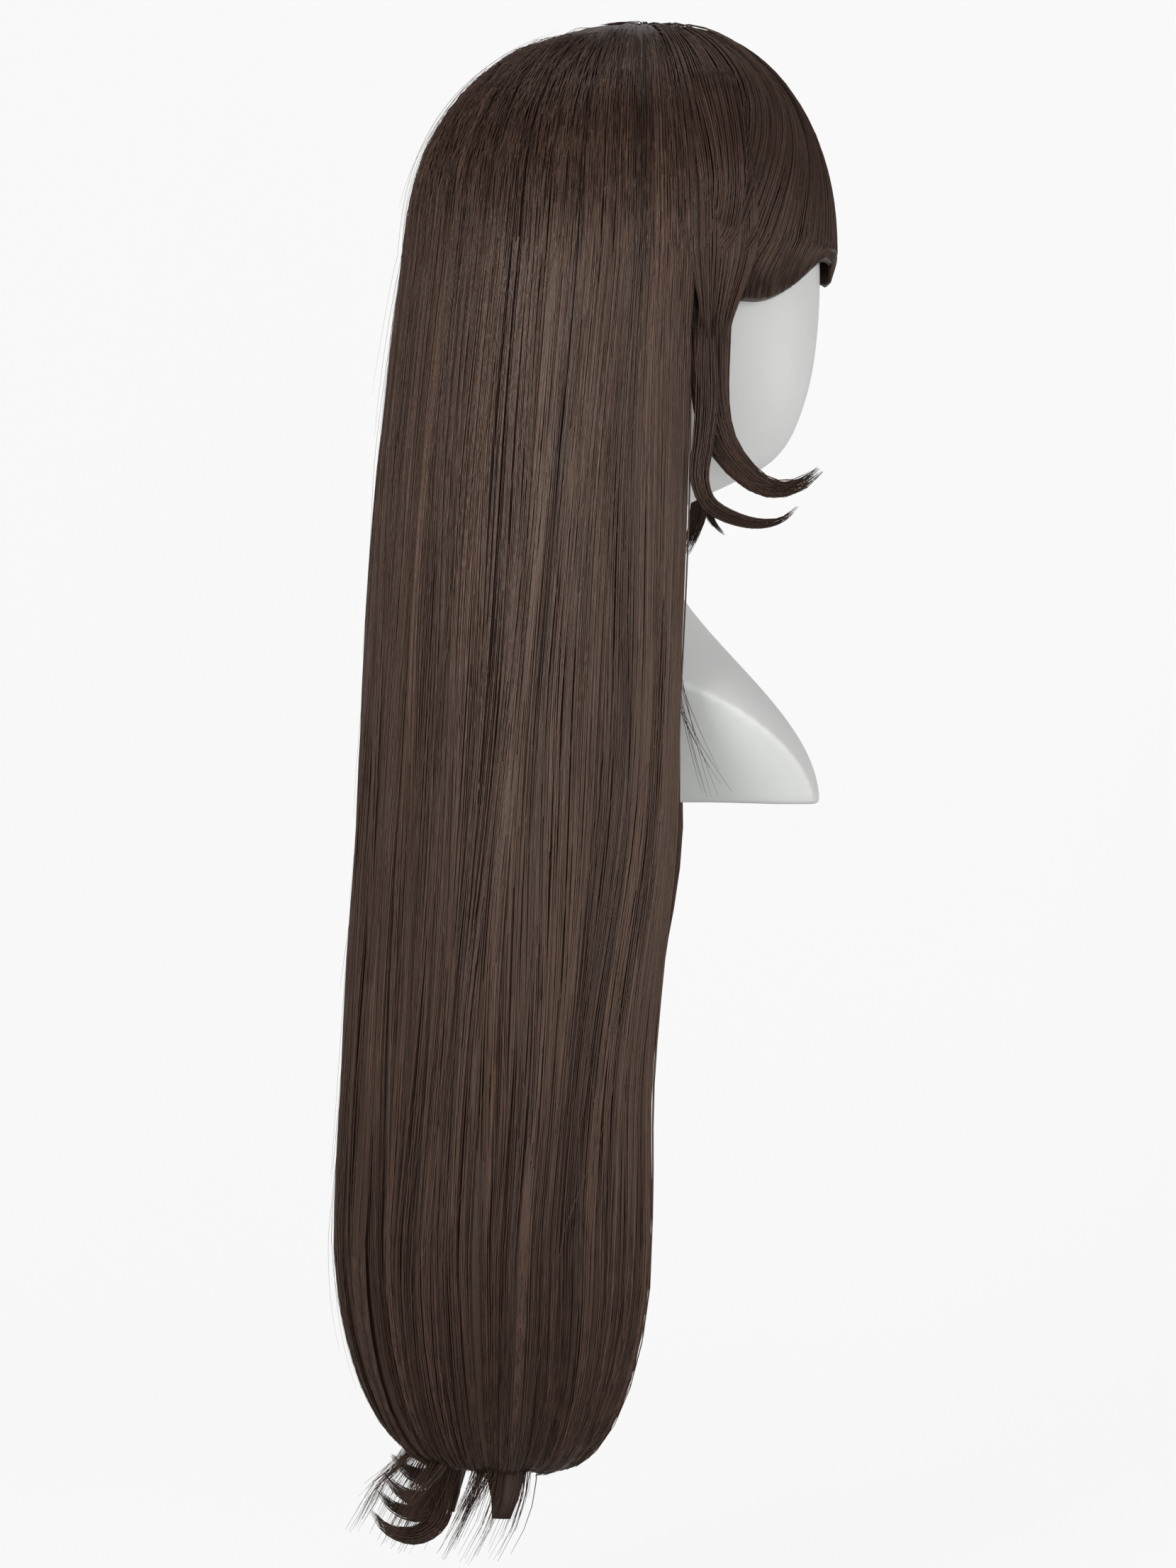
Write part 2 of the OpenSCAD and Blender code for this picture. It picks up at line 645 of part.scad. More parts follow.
// The under layer draws in above them, and passes between them as a tail whose ends sweep back.
tail_from = ends_z + 25;
tail_full = ends_z - 110;
tail_end = ends_z - curl_h - tail_extra;
function tail_share(z) = tail_in * ease((tail_from - z) / (tail_from - tail_full));
function tail_at(turn, z, depth) = let (
        p = z > tail_from ? hanging(turn, z, depth) : drawn_in(turn, z, depth, tail_share(z)),
        swept = clamp01((tail_full - 30 - z) / (tail_full - 30 - tail_end)))
    [p[0], p[1] + tail_sweep * swept * swept, z];

dome_polars = [6, 17, 29, 41, 53, 65, 77];
hang_shares = [0.13, 0.25, 0.38, 0.53, 0.69, 0.85, 1];
curl_angles = [24, 46, 66, 84];
gap_turn = 0.2;

// A lock of hair between two turns, made from rows of places. Every row has its inner and outer
// depth, and how far it is drawn together. The outer face is grooved along the strands.
module hair_lock(turn_a, turn_b, rows, cols) {
    mid = (turn_a + turn_b) / 2;
    a = turn_a + gap_turn;
    b = turn_b - gap_turn;
    function turn_at(row, i) = lerp(mid, lerp(a, b, i / cols), row[4]);
    function depth_at(row, depth) = lerp((row[2] + row[3]) / 2, depth, row[4]);
    function groove_at(row, i) = i % 2 == 0 ? 0 :
        groove * min(1, row[0] == 0 ? row[1] / 40 : 1) / skull_hair_t(mid);
    function place(row, turn, depth) =
        row[0] == 0 ? over_skull(turn, row[1], depth)
            : row[0] == 1 ? hanging(turn, row[1], depth)
            : row[0] == 2 ? turned_in(turn, row[5], row[1], depth) : tail_at(turn, row[1], depth);
    outer = [for (r = rows) [for (i = [0 : cols])
        place(r, turn_at(r, i), depth_at(r, r[3]) - groove_at(r, i))]];
    inner = [for (r = rows) [for (i = [0 : cols]) place(r, turn_at(r, i), depth_at(r, r[2]))]];
    wall_between(outer, inner);
}

// How much of the depth each layer has where both hang.
split = 0.5;
layer_split = 0.015;
outer_in = split + layer_split;
under_out = split - layer_split;
close_in = 0.01;

// Width of a lock's end, as a share of its full width.
end_width = 0.3;

under_top = brow_z - 14;
sector = edge_turn / 4;
shorter = [0, 6, 15, 19];
module long_hair(side, i) {
    a = side == RIGHT ? sector * (i - 1) : -sector * i;
    step_z = under_top + 1;
    n = len(curl_angles);
    color(i % 2 == 0 ? HAIR : HAIR_DARK) hair_lock(a, a + sector, concat(
        [for (p = dome_polars) [0, p, close_in, 1, 1]],
        [[1, brow_z, close_in, 1, 1], [1, step_z + 3, close_in, 1, 1], [1, step_z, outer_in, 1, 1]],
        [for (s = hang_shares) [1, lerp(brow_z, ends_z, s), outer_in, 1, 1]],
        [for (k = [0 : n - 1]) [2, curl_angles[k], outer_in, 1,
            lerp(1, end_width, pow((k + 1) / n, 1.3)), curl_h - shorter[i - 1]]]),
        4);
}

// The layer underneath is sewn to the tracks at the back, and hangs lower.
under_turn = 98;
module under_hair(side, i) {
    half = under_turn / 2;
    a = side == RIGHT ? half * (i - 1) : -half * i;
    color(HAIR_DARK) hair_lock(a, a + half, concat(
        [for (s = concat([0], hang_shares)) [1, lerp(under_top, tail_from, s), 0, under_out, 1]],
        [for (s = [0.17, 0.34, 0.51, 0.66, 0.8, 0.92, 1])
            [3, lerp(tail_from, tail_end + 6 * i, s), 0, under_out,
                s < 0.5 ? 1 : lerp(1, end_width, pow(2 * s - 1, 1.6))]]),
        6);
}

whorl_polar = 5.6;
module crown_whorl() {
    polars = [1, 3, whorl_polar];
    function ring(polar, depth) = [for (a = steps(0, 330, 11)) over_skull(a, polar, depth)];
    color(HAIR_DARK) loft(concat(
        [for (polar = polars) ring(polar, close_in)],
        [for (i = [len(polars) - 1 : -1 : 0]) ring(polars[i], 0.98)]));
}

// Ends that flick out backwards from the tail, below the turned-in hair.
flick_turn = 24;
flick_w = 15;
flick_t = 7;
module flicked_ends(z, path) {
    start = tail_at(flick_turn, z, under_out);
    places = [for (p = path) [-start[0] + p[0], -start[1] - p[1] - flick_t * 0.3, z + p[2]]];
    color(HAIR) for (side = [RIGHT, LEFT]) path_lock(side, places, flick_w, flick_t, 0.15);
}

// ---- fringe, temples and side locks ----

fringe_turn = 121;
temple_z = brow_z - 14;
module temple_hair(side) {
    a = side == RIGHT ? edge_turn : -fringe_turn;
    width = fringe_turn - edge_turn;
    cols = 4;
    polars = concat(dome_polars, [90]);
    last = len(polars);
    function place(row, i, depth) = let (
            draw = row < last ? gap_turn : 6 * gap_turn, turn = lerp(a + draw, a + width - draw, i / cols),
            p = over_skull(turn, row < last ? polars[row] : 90, depth))
        [p[0], p[1], row < last ? p[2] : temple_z];
    function groove_at(i) = i % 2 == 1 ? 0.06 : 0;
    color(HAIR) wall_between(
        [for (r = [0 : last]) [for (i = [0 : cols]) place(r, i, (r < last ? 1 : 0.86) - groove_at(i))]],
        [for (r = [0 : last]) [for (i = [0 : cols]) place(r, i, close_in)]]);
}

// The fringe comes over the forehead and sweeps out to the temples, where it hangs lowest.
fringe_part = (180 - fringe_turn) / 3;
function swept(turn, down) = let (from_middle = 180 - abs(turn), width = 180 - fringe_turn,
        moved = fringe_sweep * ease(down) * sin(180 * clamp01(from_middle / width)))
    (turn < 0 ? -1 : 1) * (abs(turn) - moved);
// The ends rise towards the middle of the brow, a little less so left of it.
function fringe_end(turn) = fringe_z + fringe_rise * ease((abs(turn) - 125) / 40)
    - (turn < 0 ? 10 * clamp01((abs(turn) - 150) / 20) : 0);
fringe_downs = [0.25, 0.5, 0.75, 1];
module fringe(side, i) {
    from = fringe_turn + fringe_part * (i - 1);
    a = side == RIGHT ? from : -from - fringe_part;
    cols = 4;
    polars = concat(dome_polars, [90]);
    rows = concat([for (p = polars) [p, 0]], [for (d = fringe_downs) [90, d]]);
    function place(row, u, depth) = let (
            t0 = lerp(a + gap_turn, a + fringe_part - gap_turn, u), down = row[1],
            sweep = down > 0 ? 1 : clamp01((row[0] - 50) / 60),
            turn = swept(t0, lerp(sweep * 0.7, 1, down)), p = over_skull(turn, row[0], depth))
        [p[0], p[1], down > 0 ? lerp(brow_z, fringe_end(turn) + 6 * depth, down) : p[2]];
    function thin(row) = lerp(1, 0.35, row[1] * row[1]);
    function outer(row, c) = lerp(close_in, 1 - (c % 2 == 1 ? 0.08 : 0), thin(row));
    color(i == 2 ? HAIR_DARK : HAIR) wall_between(
        [for (r = rows) [for (c = [0 : cols]) place(r, c / cols, outer(r, c))]],
        [for (r = rows) [for (c = [0 : cols]) place(r, c / cols, close_in)]]);
}

// A lock laid along a path: width lies along the cheek and thickness away from it.
module path_lock(side, path, w, t, tip) {
    last = len(path) - 1;
    n = 8;
    function along(i) = let (v = path[min(last, i + 1)] - path[max(0, i - 1)]) v / norm(v);
    function ring(i) = let (
            d = along(i), out = cross(d, [0, d[2], -d[1]]), o = out / norm(out), wide = cross(o, d),
            s = i / last, k = lerp(1, tip, pow(s, 2.2)) * lerp(0.6, 1, clamp01(s * 4)))
        [for (j = [0 : n - 1]) let (a = -360 * j / n, dent = j % 2 == 1 ? 0.93 : 1,
                p = path[i] + wide * (w / 2 * k * cos(a) * dent) + o * (t / 2 * k * sin(a) * dent))
            [-side * p[0], -p[1], p[2]]];
    rings = [for (i = [0 : last]) ring(i)];
    loft(side == RIGHT ? [for (r = rings) [for (j = [n - 1 : -1 : 0]) r[j]]] : rings);
}

// How far out the hair's inner face lies at forward place f, beside the cheek.
function cheek(f) = let (u = clamp01(abs(f - skull_f) / skull_b)) (skull_a + hair_d) * sqrt(1 - u * u);

// The right lock flips forward under the chin, and the left one falls back beside the neck.
lock_gap = 0.6;
lock_x_min = 50;
lock_f = edge_at_bust + thin_edge * thin_edge * hair_side_t * swell + lock_gap + lock_w / 2 + 2;
lower_t = 5;
lower_w = 13;
lower_nest = 1.2;
flip_path = [[0, -14], [0, -42], [0, -68], [1, -91], [6, -112],
    [17, -127], [29, -136], [41, -138], [54, -134], [63, -126]];
lower_flip_path = [[-1, -46], [-1, -70], [-1, -94], [-3, -116], [-5, -134],
    [0, -148], [15, -156], [30, -158], [43, -154], [50, -147]];
fall_path = [[0, -14], [0, -42], [0, -70], [0, -96], [-1, -118], [-3, -138], [-7, -154], [-12, -166]];
lower_fall_path = [[-3, -50], [-3, -80], [-3, -110], [0, -132], [5, -146], [12, -154]];

module side_lock(side, path, out, w, t) {
    function place(f, up) = [max(lock_x_min, cheek(f)) + out + t / 2, f,
        brow_z + up - (up > -20 ? lock_gap : 0)];
    path_lock(side, [for (p = path) place(lock_f + p[0], p[1])], w, t, 0.13);
}
module side_lock_upper(side) {
    color(HAIR) side_lock(side, side == RIGHT ? flip_path : fall_path, lock_gap, lock_w, lock_t);
}
module side_lock_lower(side) {
    color(HAIR_DARK) side_lock(side, side == RIGHT ? lower_flip_path : lower_fall_path,
        lock_gap + lock_t - lower_nest, lower_w, lower_t);
}

upper_flick = [[0, 0, 0], [-1, 7, -7], [-3, 17, -8], [-5, 27, -3], [-7, 35, 6]];
lower_flick = [[0, 0, 0], [-1, 8, -9], [-3, 19, -12], [-5, 31, -8], [-7, 40, 2]];
module flicked_ends_outer() {
    flicked_ends(ends_z - curl_h - 17, upper_flick);
}
module flicked_ends_under() {
    flicked_ends(ends_z - curl_h - 34, lower_flick);
}

head_shell();
bust_foot(-1);  // bust_foot_front
bust_foot(1);  // bust_foot_back
socket_sleeve();
socket_screws();
parting_patch();
cap_crown_net();
cap_front_band();
cap_side_panel(RIGHT);  // cap_side_panel_right
cap_side_panel(LEFT);  // cap_side_panel_left
cap_back_panel();
nape_band();
ear_tab(RIGHT);  // ear_tab_right
ear_tab(LEFT);  // ear_tab_left
crown_wefts();
back_wefts();
side_wefts(RIGHT);  // side_wefts_right
side_wefts(LEFT);  // side_wefts_left
adjuster_loops();
adjuster_strap(RIGHT);  // adjuster_strap_right
adjuster_strap(LEFT);  // adjuster_strap_left
adjuster_hook(RIGHT);  // adjuster_hook_right
adjuster_hook(LEFT);  // adjuster_hook_left
crown_whorl();
for (i = [1 : 4]) {
    long_hair(RIGHT, i);
    long_hair(LEFT, i);
}
for (i = [1 : 2]) {
    under_hair(RIGHT, i);
    under_hair(LEFT, i);
}
temple_hair(RIGHT);  // temple_hair_right
temple_hair(LEFT);  // temple_hair_left
for (i = [1 : 3]) {
    fringe(RIGHT, i);
    fringe(LEFT, i);
}
side_lock_upper(RIGHT);  // side_lock_upper_right
side_lock_upper(LEFT);  // side_lock_upper_left
side_lock_lower(RIGHT);  // side_lock_lower_right
side_lock_lower(LEFT);  // side_lock_lower_left
flicked_ends_outer();
flicked_ends_under();
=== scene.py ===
# %% [markdown]
# A faceless shop head wears a very long brown wig. The imported model is loaded first and stays
# as it is: it carries the joints, and every piece below but the two straps rides on one of its bodies.
# Lengths of the wig are written in millimetres, as in the part's source, and turned into metres
# only when a mesh is made.
# %% The frame
import math

import bpy
import bmesh
import numpy as np
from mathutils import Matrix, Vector


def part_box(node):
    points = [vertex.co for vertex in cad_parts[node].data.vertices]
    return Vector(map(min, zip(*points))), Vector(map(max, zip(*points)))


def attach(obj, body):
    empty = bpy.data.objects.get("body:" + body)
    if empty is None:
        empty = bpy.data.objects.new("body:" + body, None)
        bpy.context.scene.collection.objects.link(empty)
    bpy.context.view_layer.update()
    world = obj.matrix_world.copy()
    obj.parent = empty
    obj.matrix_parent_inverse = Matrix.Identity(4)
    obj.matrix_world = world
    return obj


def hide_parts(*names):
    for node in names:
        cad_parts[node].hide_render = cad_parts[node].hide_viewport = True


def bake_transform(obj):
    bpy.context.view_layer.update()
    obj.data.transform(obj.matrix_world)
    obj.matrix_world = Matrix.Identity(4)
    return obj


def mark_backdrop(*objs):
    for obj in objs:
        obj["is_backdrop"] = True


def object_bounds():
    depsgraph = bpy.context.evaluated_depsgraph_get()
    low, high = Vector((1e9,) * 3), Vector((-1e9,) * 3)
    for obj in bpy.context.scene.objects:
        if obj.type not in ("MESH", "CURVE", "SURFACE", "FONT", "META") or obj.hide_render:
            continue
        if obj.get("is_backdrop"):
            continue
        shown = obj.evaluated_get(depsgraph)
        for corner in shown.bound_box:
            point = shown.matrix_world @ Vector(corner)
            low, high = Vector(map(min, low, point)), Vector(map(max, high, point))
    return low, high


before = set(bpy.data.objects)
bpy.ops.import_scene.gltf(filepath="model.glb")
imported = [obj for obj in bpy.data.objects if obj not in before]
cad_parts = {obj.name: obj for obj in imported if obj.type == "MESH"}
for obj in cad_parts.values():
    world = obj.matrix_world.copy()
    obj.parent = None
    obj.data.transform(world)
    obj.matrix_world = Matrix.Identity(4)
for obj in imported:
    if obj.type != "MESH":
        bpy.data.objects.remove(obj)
cad_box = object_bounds()

# %% [markdown]
# The camera looks at the right side, level with the bust, from far enough away that the near and
# far side of the hair are almost the same size.
# %% Camera
CAMERA_TURN = math.radians(271)
CAMERA_FAR = 2.2
VIEW_HEIGHT = 0.896
target = Vector((0, -0.0018, 0.0154))
looking = Vector((-math.sin(CAMERA_TURN), math.cos(CAMERA_TURN), 0))
lens = bpy.data.cameras.new("camera")
lens.sensor_fit = "VERTICAL"
lens.angle = 2 * math.atan(VIEW_HEIGHT / 2 / CAMERA_FAR)
camera = bpy.data.objects.new("camera", lens)
camera.location = target - looking * CAMERA_FAR
camera.rotation_euler = looking.to_track_quat("-Z", "Y").to_euler()
bpy.context.scene.collection.objects.link(camera)
bpy.context.scene.camera = camera
print("camera at", tuple(round(v, 3) for v in camera.location))

# %% [markdown]
# A node material is a small network. These helpers add one node with its values and links, so
# that each finish below reads as a short list of steps.
# %% Helpers for node materials
def new_material(name):
    material = bpy.data.materials.new(name)
    material.use_nodes = True
    return material, material.node_tree.nodes["Principled BSDF"]


def add_node(material, kind, values=None, links=None, **settings):
    tree = material.node_tree
    node = tree.nodes.new(kind)
    for key, value in settings.items():
        setattr(node, key, value)
    for key, value in (values or {}).items():
        node.inputs[key].default_value = value
    for key, socket in (links or {}).items():
        tree.links.new(socket, node.inputs[key])
    return node


def join(material, socket, target_socket):
    material.node_tree.links.new(socket, target_socket)


def tone_ramp(material, factor, stops):
    ramp = add_node(material, "ShaderNodeValToRGB", links={"Fac": factor})
    elements = ramp.color_ramp.elements
    while len(elements) < len(stops):
        elements.new(0.5)
    for element, (place, colour) in zip(elements, stops):
        element.position = place
        element.color = (*colour, 1)
    return ramp.outputs["Color"]


# %% [markdown]
# The stage is a pale floor that bends up into a backdrop. It shows white to the camera and keeps
# a soft shadow, because part of its brightness comes from the lamps.
# %% Stage
FLOOR_Z = cad_box[0][2] - 0.06
def make_stage():
    back, wide, bend = 1.6, 4.0, 0.7
    profile = [(-5.0, FLOOR_Z)] + [
        (back - bend + bend * math.sin(a), FLOOR_Z + bend - bend * math.cos(a))
        for a in np.linspace(0, math.pi / 2, 13)] + [(back, 4.0)]
    across = Vector((looking.y, -looking.x, 0))
    verts = [tuple(looking * d + across * side * wide + Vector((0, 0, z)))
             for side in (-1, 1) for d, z in profile]
    n = len(profile)
    faces = [(i, i + 1, n + i + 1, n + i) for i in range(n - 1)]
    mesh = bpy.data.meshes.new("stage")
    mesh.from_pydata(verts, [], faces)
    mesh.shade_smooth()
    stage = bpy.data.objects.new("stage", mesh)
    bpy.context.scene.collection.objects.link(stage)
    material, shader = new_material("stage_paper")
    shader.inputs["Base Color"].default_value = (0.82, 0.82, 0.82, 1)
    shader.inputs["Roughness"].default_value = 0.9
    seen = add_node(material, "ShaderNodeLightPath")
    glow = add_node(material, "ShaderNodeEmission", {"Strength": 1.0})
    share = add_node(material, "ShaderNodeMath", {1: 0.86}, {0: seen.outputs["Is Camera Ray"]},
                     operation="MULTIPLY")
    mixed = add_node(material, "ShaderNodeMixShader",
                     links={0: share.outputs[0], 1: shader.outputs[0], 2: glow.outputs[0]})
    join(material, mixed.outputs[0], material.node_tree.nodes["Material Output"].inputs["Surface"])
    mesh.materials.append(material)
    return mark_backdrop(stage) or stage


stage = make_stage()

# %% [markdown]
# Soft light comes from large area lamps. The strongest stands on the camera's side, a little
# behind the head, so that it draws long pale bands down the back of the hair; a faintly pink one
# lights the front of the bust.
# %% Light
def area_lamp(name, place, aim, size, watts, colour=(1, 1, 1)):
    data = bpy.data.lights.new(name, "AREA")
    data.shape = "RECTANGLE"
    data.size, data.size_y = size
    data.energy = watts
    data.color = colour
    lamp = bpy.data.objects.new(name, data)
    lamp.location = place
    lamp.rotation_euler = (Vector(aim) - Vector(place)).to_track_quat("-Z", "Y").to_euler()
    bpy.context.scene.collection.objects.link(lamp)


area_lamp("key", (-1.9, 1.25, 0.55), (0, 0, 0.1), (0.9, 1.0), 30)
area_lamp("camera_fill", (-2.4, -0.5, 0.15), (0, 0, 0), (0.7, 1.0), 11, (0.95, 1, 0.97))
area_lamp("front", (-0.7, -2.2, 0.4), (0, -0.05, 0), (1.4, 1.6), 15, (1, 0.96, 0.96))
area_lamp("top", (-0.3, 0.1, 2.1), (0, 0, 0.3), (0.5, 1.2), 8)
area_lamp("far_side", (2.0, 0.6, 0.5), (0, 0, 0), (1.0, 1.2), 12)
world = bpy.data.worlds.new("world")
bpy.context.scene.world = world
world.use_nodes = True
sky = world.node_tree.nodes["Background"]
sky.inputs["Color"].default_value = (1, 1, 1, 1)
ray = world.node_tree.nodes.new("ShaderNodeLightPath")
level = world.node_tree.nodes.new("ShaderNodeMapRange")
level.inputs["To Min"].default_value = 0.24
level.inputs["To Max"].default_value = 1.0
world.node_tree.links.new(ray.outputs["Is Camera Ray"], level.inputs["Value"])
world.node_tree.links.new(level.outputs["Result"], sky.inputs["Strength"])
bpy.context.scene.view_settings.view_transform = "Standard"
print("five area lamps and a pale sky")

# %% [markdown]
# Pieces are built from arrays of points. One helper turns arrays into an object, with smooth
# shading, a tone for each point, and a surface map named OFBake.
# %% Meshes from arrays
MM = 0.001


def mesh_piece(name, points, faces, material, body, nodes=(), tone=None, uv=None):
    mesh = bpy.data.meshes.new(name)
    mesh.from_pydata((np.asarray(points) * MM).tolist(), [], faces)
    mesh.shade_smooth()
    if tone is not None:
        shade = mesh.attributes.new("tone", "FLOAT", "POINT")
        shade.data.foreach_set("value", np.asarray(tone, np.float32))
    if uv is not None:
        corner = np.zeros(len(mesh.loops), np.int32)
        mesh.loops.foreach_get("vertex_index", corner)
        layer = mesh.uv_layers.new(name="OFBake")
        layer.data.foreach_set("uv", np.asarray(uv, np.float32)[corner].ravel())
    mesh.materials.append(material)
    piece = bpy.data.objects.new(name, mesh)
    bpy.context.scene.collection.objects.link(piece)
    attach(piece, body)
    if nodes:
        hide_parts(*nodes)
    return piece


def lerp(a, b, t):
    return a + (b - a) * t


def ease(t):
    t = np.clip(t, 0, 1)
    return t * t * (3 - 2 * t)


def sind(a):
    return np.sin(np.radians(a))


def cosd(a):
    return np.cos(np.radians(a))


# %% [markdown]
# The head is one moulded form: an egg of a skull, a plain face with no features, a neck, and a
# bust that flares out and is cut away at both sides and underneath. Level rings give its shape;
# a smooth curve through a short table narrows it from the brow to the neck. The form takes its foot
# and its front reach from the shell's upper solid, so it ends above the two feet of the bust, and
# the reach that it gives the bust is the brow's.
# %% Size of the head
head_low, head_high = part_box("head_shell")
DOME_H = 110
BROW_Z = head_high[2] / MM - DOME_H
FOOT_Z = head_low[2] / MM
SKULL_A, SKULL_B, SKULL_F = 79, 103, 31
CHIN_Z, CHIN_F = 200, 112
NECK_A, NECK_FRONT, NECK_BACK, NECK_Z = 50, 46, 57, 145
BUST_A, BUST_FRONT, BUST_BACK = 100, -head_low[1] / MM, head_high[1] / MM
FOOT_HALF, FOOT_T, SIDE_SLANT = 23, 26, 35
ARCH_TOP, FLANGE_R = 5, 24.5
BROW_F, SKULL_BACK = SKULL_F + SKULL_B, SKULL_B - SKULL_F
face_rows = np.array([
    [NECK_Z, NECK_FRONT, 0, 0, 0],
    [CHIN_Z - 38, lerp(NECK_FRONT, CHIN_F, 0.03), 0.05, 0.04, 0],
    [CHIN_Z - 26, lerp(NECK_FRONT, CHIN_F, 0.17), 0.13, 0.13, 0.05],
    [CHIN_Z - 14, lerp(NECK_FRONT, CHIN_F, 0.54), 0.24, 0.24, 0.15],
    [CHIN_Z - 4, lerp(NECK_FRONT, CHIN_F, 0.85), 0.37, 0.33, 0.23],
    [CHIN_Z + 7, lerp(CHIN_F, BROW_F, 0.08), 0.51, 0.43, 0.27],
    [CHIN_Z + 22, lerp(CHIN_F, BROW_F, 0.44), 0.67, 0.57, 0.24],
    [CHIN_Z + 46, lerp(CHIN_F, BROW_F, 0.77), 0.86, 0.76, 0.17],
    [CHIN_Z + 72, lerp(CHIN_F, BROW_F, 0.94), 0.96, 0.89, 0.10],
    [CHIN_Z + 95, BROW_F, 1, 0.97, 0.04],
    [BROW_Z, BROW_F, 1, 1, 0]])


def smooth_curve(table, x, column):
    xs, ys = table[:, 0], table[:, column]
    slopes = np.empty(len(xs))
    slopes[1:-1] = (ys[2:] - ys[:-2]) / (xs[2:] - xs[:-2])
    slopes[0] = (ys[1] - ys[0]) / (xs[1] - xs[0])
    slopes[-1] = (ys[-1] - ys[-2]) / (xs[-1] - xs[-2])
    i = np.clip(np.searchsorted(xs, x) - 1, 0, len(xs) - 2)
    h = xs[i + 1] - xs[i]
    t = (x - xs[i]) / h
    return ((2 * t**3 - 3 * t**2 + 1) * ys[i] + (t**3 - 2 * t**2 + t) * h * slopes[i]
            + (3 * t**2 - 2 * t**3) * ys[i + 1] + (t**3 - t**2) * h * slopes[i + 1])


def form_at(z):
    """Front reach, back reach, half width and narrowing of the head at height z."""
    if z <= NECK_Z:
        g = sind(90 * min(1, (NECK_Z - z) / (NECK_Z - FOOT_Z))) ** 1.6
        return (lerp(NECK_FRONT, BUST_FRONT, g), lerp(NECK_BACK, BUST_BACK, g),
                lerp(NECK_A, BUST_A, g), 0)
    if z <= BROW_Z:
        front, back, half, narrow = (smooth_curve(face_rows, z, column) for column in (1, 2, 3, 4))
        return front, lerp(NECK_BACK, SKULL_BACK, back), lerp(NECK_A, SKULL_A, half), narrow
    k = math.sqrt(max(0, 1 - ((z - BROW_Z) / DOME_H) ** 2))
    return SKULL_F + SKULL_B * k, SKULL_B * k - SKULL_F, SKULL_A * k, 0


# %% [markdown]
# The cuts are made with Boolean modifiers on a dense form. A voxel remesh then gives even faces,
# and a smoothing pass rounds every cut edge, as the mould does. That is simpler than bevelling
# the long curved edges, and gives the same soft line.
# %% Head and bust
def solid(name, points, faces):
    mesh = bpy.data.meshes.new(name)
    mesh.from_pydata((np.asarray(points) * MM).tolist(), [], faces)
    made = bpy.data.objects.new(name, mesh)
    bpy.context.scene.collection.objects.link(made)
    form = bmesh.new()
    form.from_mesh(mesh)
    bmesh.ops.recalc_face_normals(form, faces=form.faces)
    form.to_mesh(mesh)
    form.free()
    return made


def ring_loft(name, rings):
    rows, cols = len(rings), len(rings[0])
    faces = [(r * cols + c, r * cols + (c + 1) % cols,
              (r + 1) * cols + (c + 1) % cols, (r + 1) * cols + c)
             for r in range(rows - 1) for c in range(cols)]
    faces += [tuple(range(cols)), tuple((rows - 1) * cols + c for c in range(cols))]
    return solid(name, np.concatenate(rings), faces)


def head_form(around=144, level_step=4):
    levels = list(np.arange(FOOT_Z, BROW_Z, level_step)) + [
        BROW_Z + DOME_H * sind(a) for a in np.linspace(0, 88, 34)]
    rings = []
    for z in levels:
        front, back, half, narrow = form_at(z)
        a = np.arange(around) * 360 / around
        thin = 1 - narrow * ((1 - cosd(a)) / 2) ** 2
        deep = (front + back) / 2 * cosd(a) - (front - back) / 2
        rings.append(np.stack([-half * sind(a) * thin, deep, np.full(around, z)], axis=1))
    return ring_loft("head_form", rings)


def arch_tool():
    low, mid = -12, -(BUST_FRONT - BUST_BACK) / 2
    centre = FOOT_Z + low
    flat = FLANGE_R + abs(mid) + 1
    foot = (BUST_FRONT + BUST_BACK) / 2 - FOOT_T
    up, down = ARCH_TOP - centre, FOOT_Z - centre
    cross = (foot * up) ** 2 - (flat * down) ** 2
    half, rise = math.sqrt(cross / (up**2 - down**2)), math.sqrt(cross / (foot**2 - flat**2))
    top = math.degrees(math.asin(up / rise))
    angles = list(np.linspace(-30, top, 30)) + list(np.linspace(180 - top, 210, 30))
    outline = [(mid + half * cosd(a), centre + rise * sind(a)) for a in angles]
    rings = [np.array([(x, y, z) for y, z in outline]) for x in (-150, 150)]
    return ring_loft("arch_tool", rings)


def side_tool(side):
    reach, above, slant = 320, 130, math.radians(SIDE_SLANT)
    along = np.array([math.sin(slant) * side, 0, math.cos(slant)])
    out = np.array([math.cos(slant) * side, 0, -math.sin(slant)])
    base = np.array([side * FOOT_HALF, 0, FOOT_Z])
    corners = [base + along * a + out * b + np.array([0, y, 0])
               for y in (-reach, reach)
               for a, b in ((-reach, 0), (above, 0), (above, reach), (-reach, reach))]
    walls = [(i, (i + 1) % 4, (i + 1) % 4 + 4, i + 4) for i in range(4)]
    return solid("side_tool", corners, [(0, 1, 2, 3), (4, 5, 6, 7)] + walls)


def bore_tool(radius, low, high, around=64):
    a = np.arange(around) * 360 / around
    x, y = radius * cosd(a), radius * sind(a)
    return ring_loft("bore_tool", [np.stack([x, y, np.full(around, z)], axis=1) for z in (low, high)])


def cut_away(piece, tool):
    step = piece.modifiers.new("cut", "BOOLEAN")
    step.operation, step.object, step.solver = "DIFFERENCE", tool, "EXACT"
    bpy.context.view_layer.objects.active = piece
    bpy.ops.object.modifier_apply(modifier=step.name)
    bpy.data.objects.remove(tool)


BORE_R, BORE_TOP, PAST = 17, 72, 10
EVEN_FACE, SOFT_PASSES = 1.9, 7


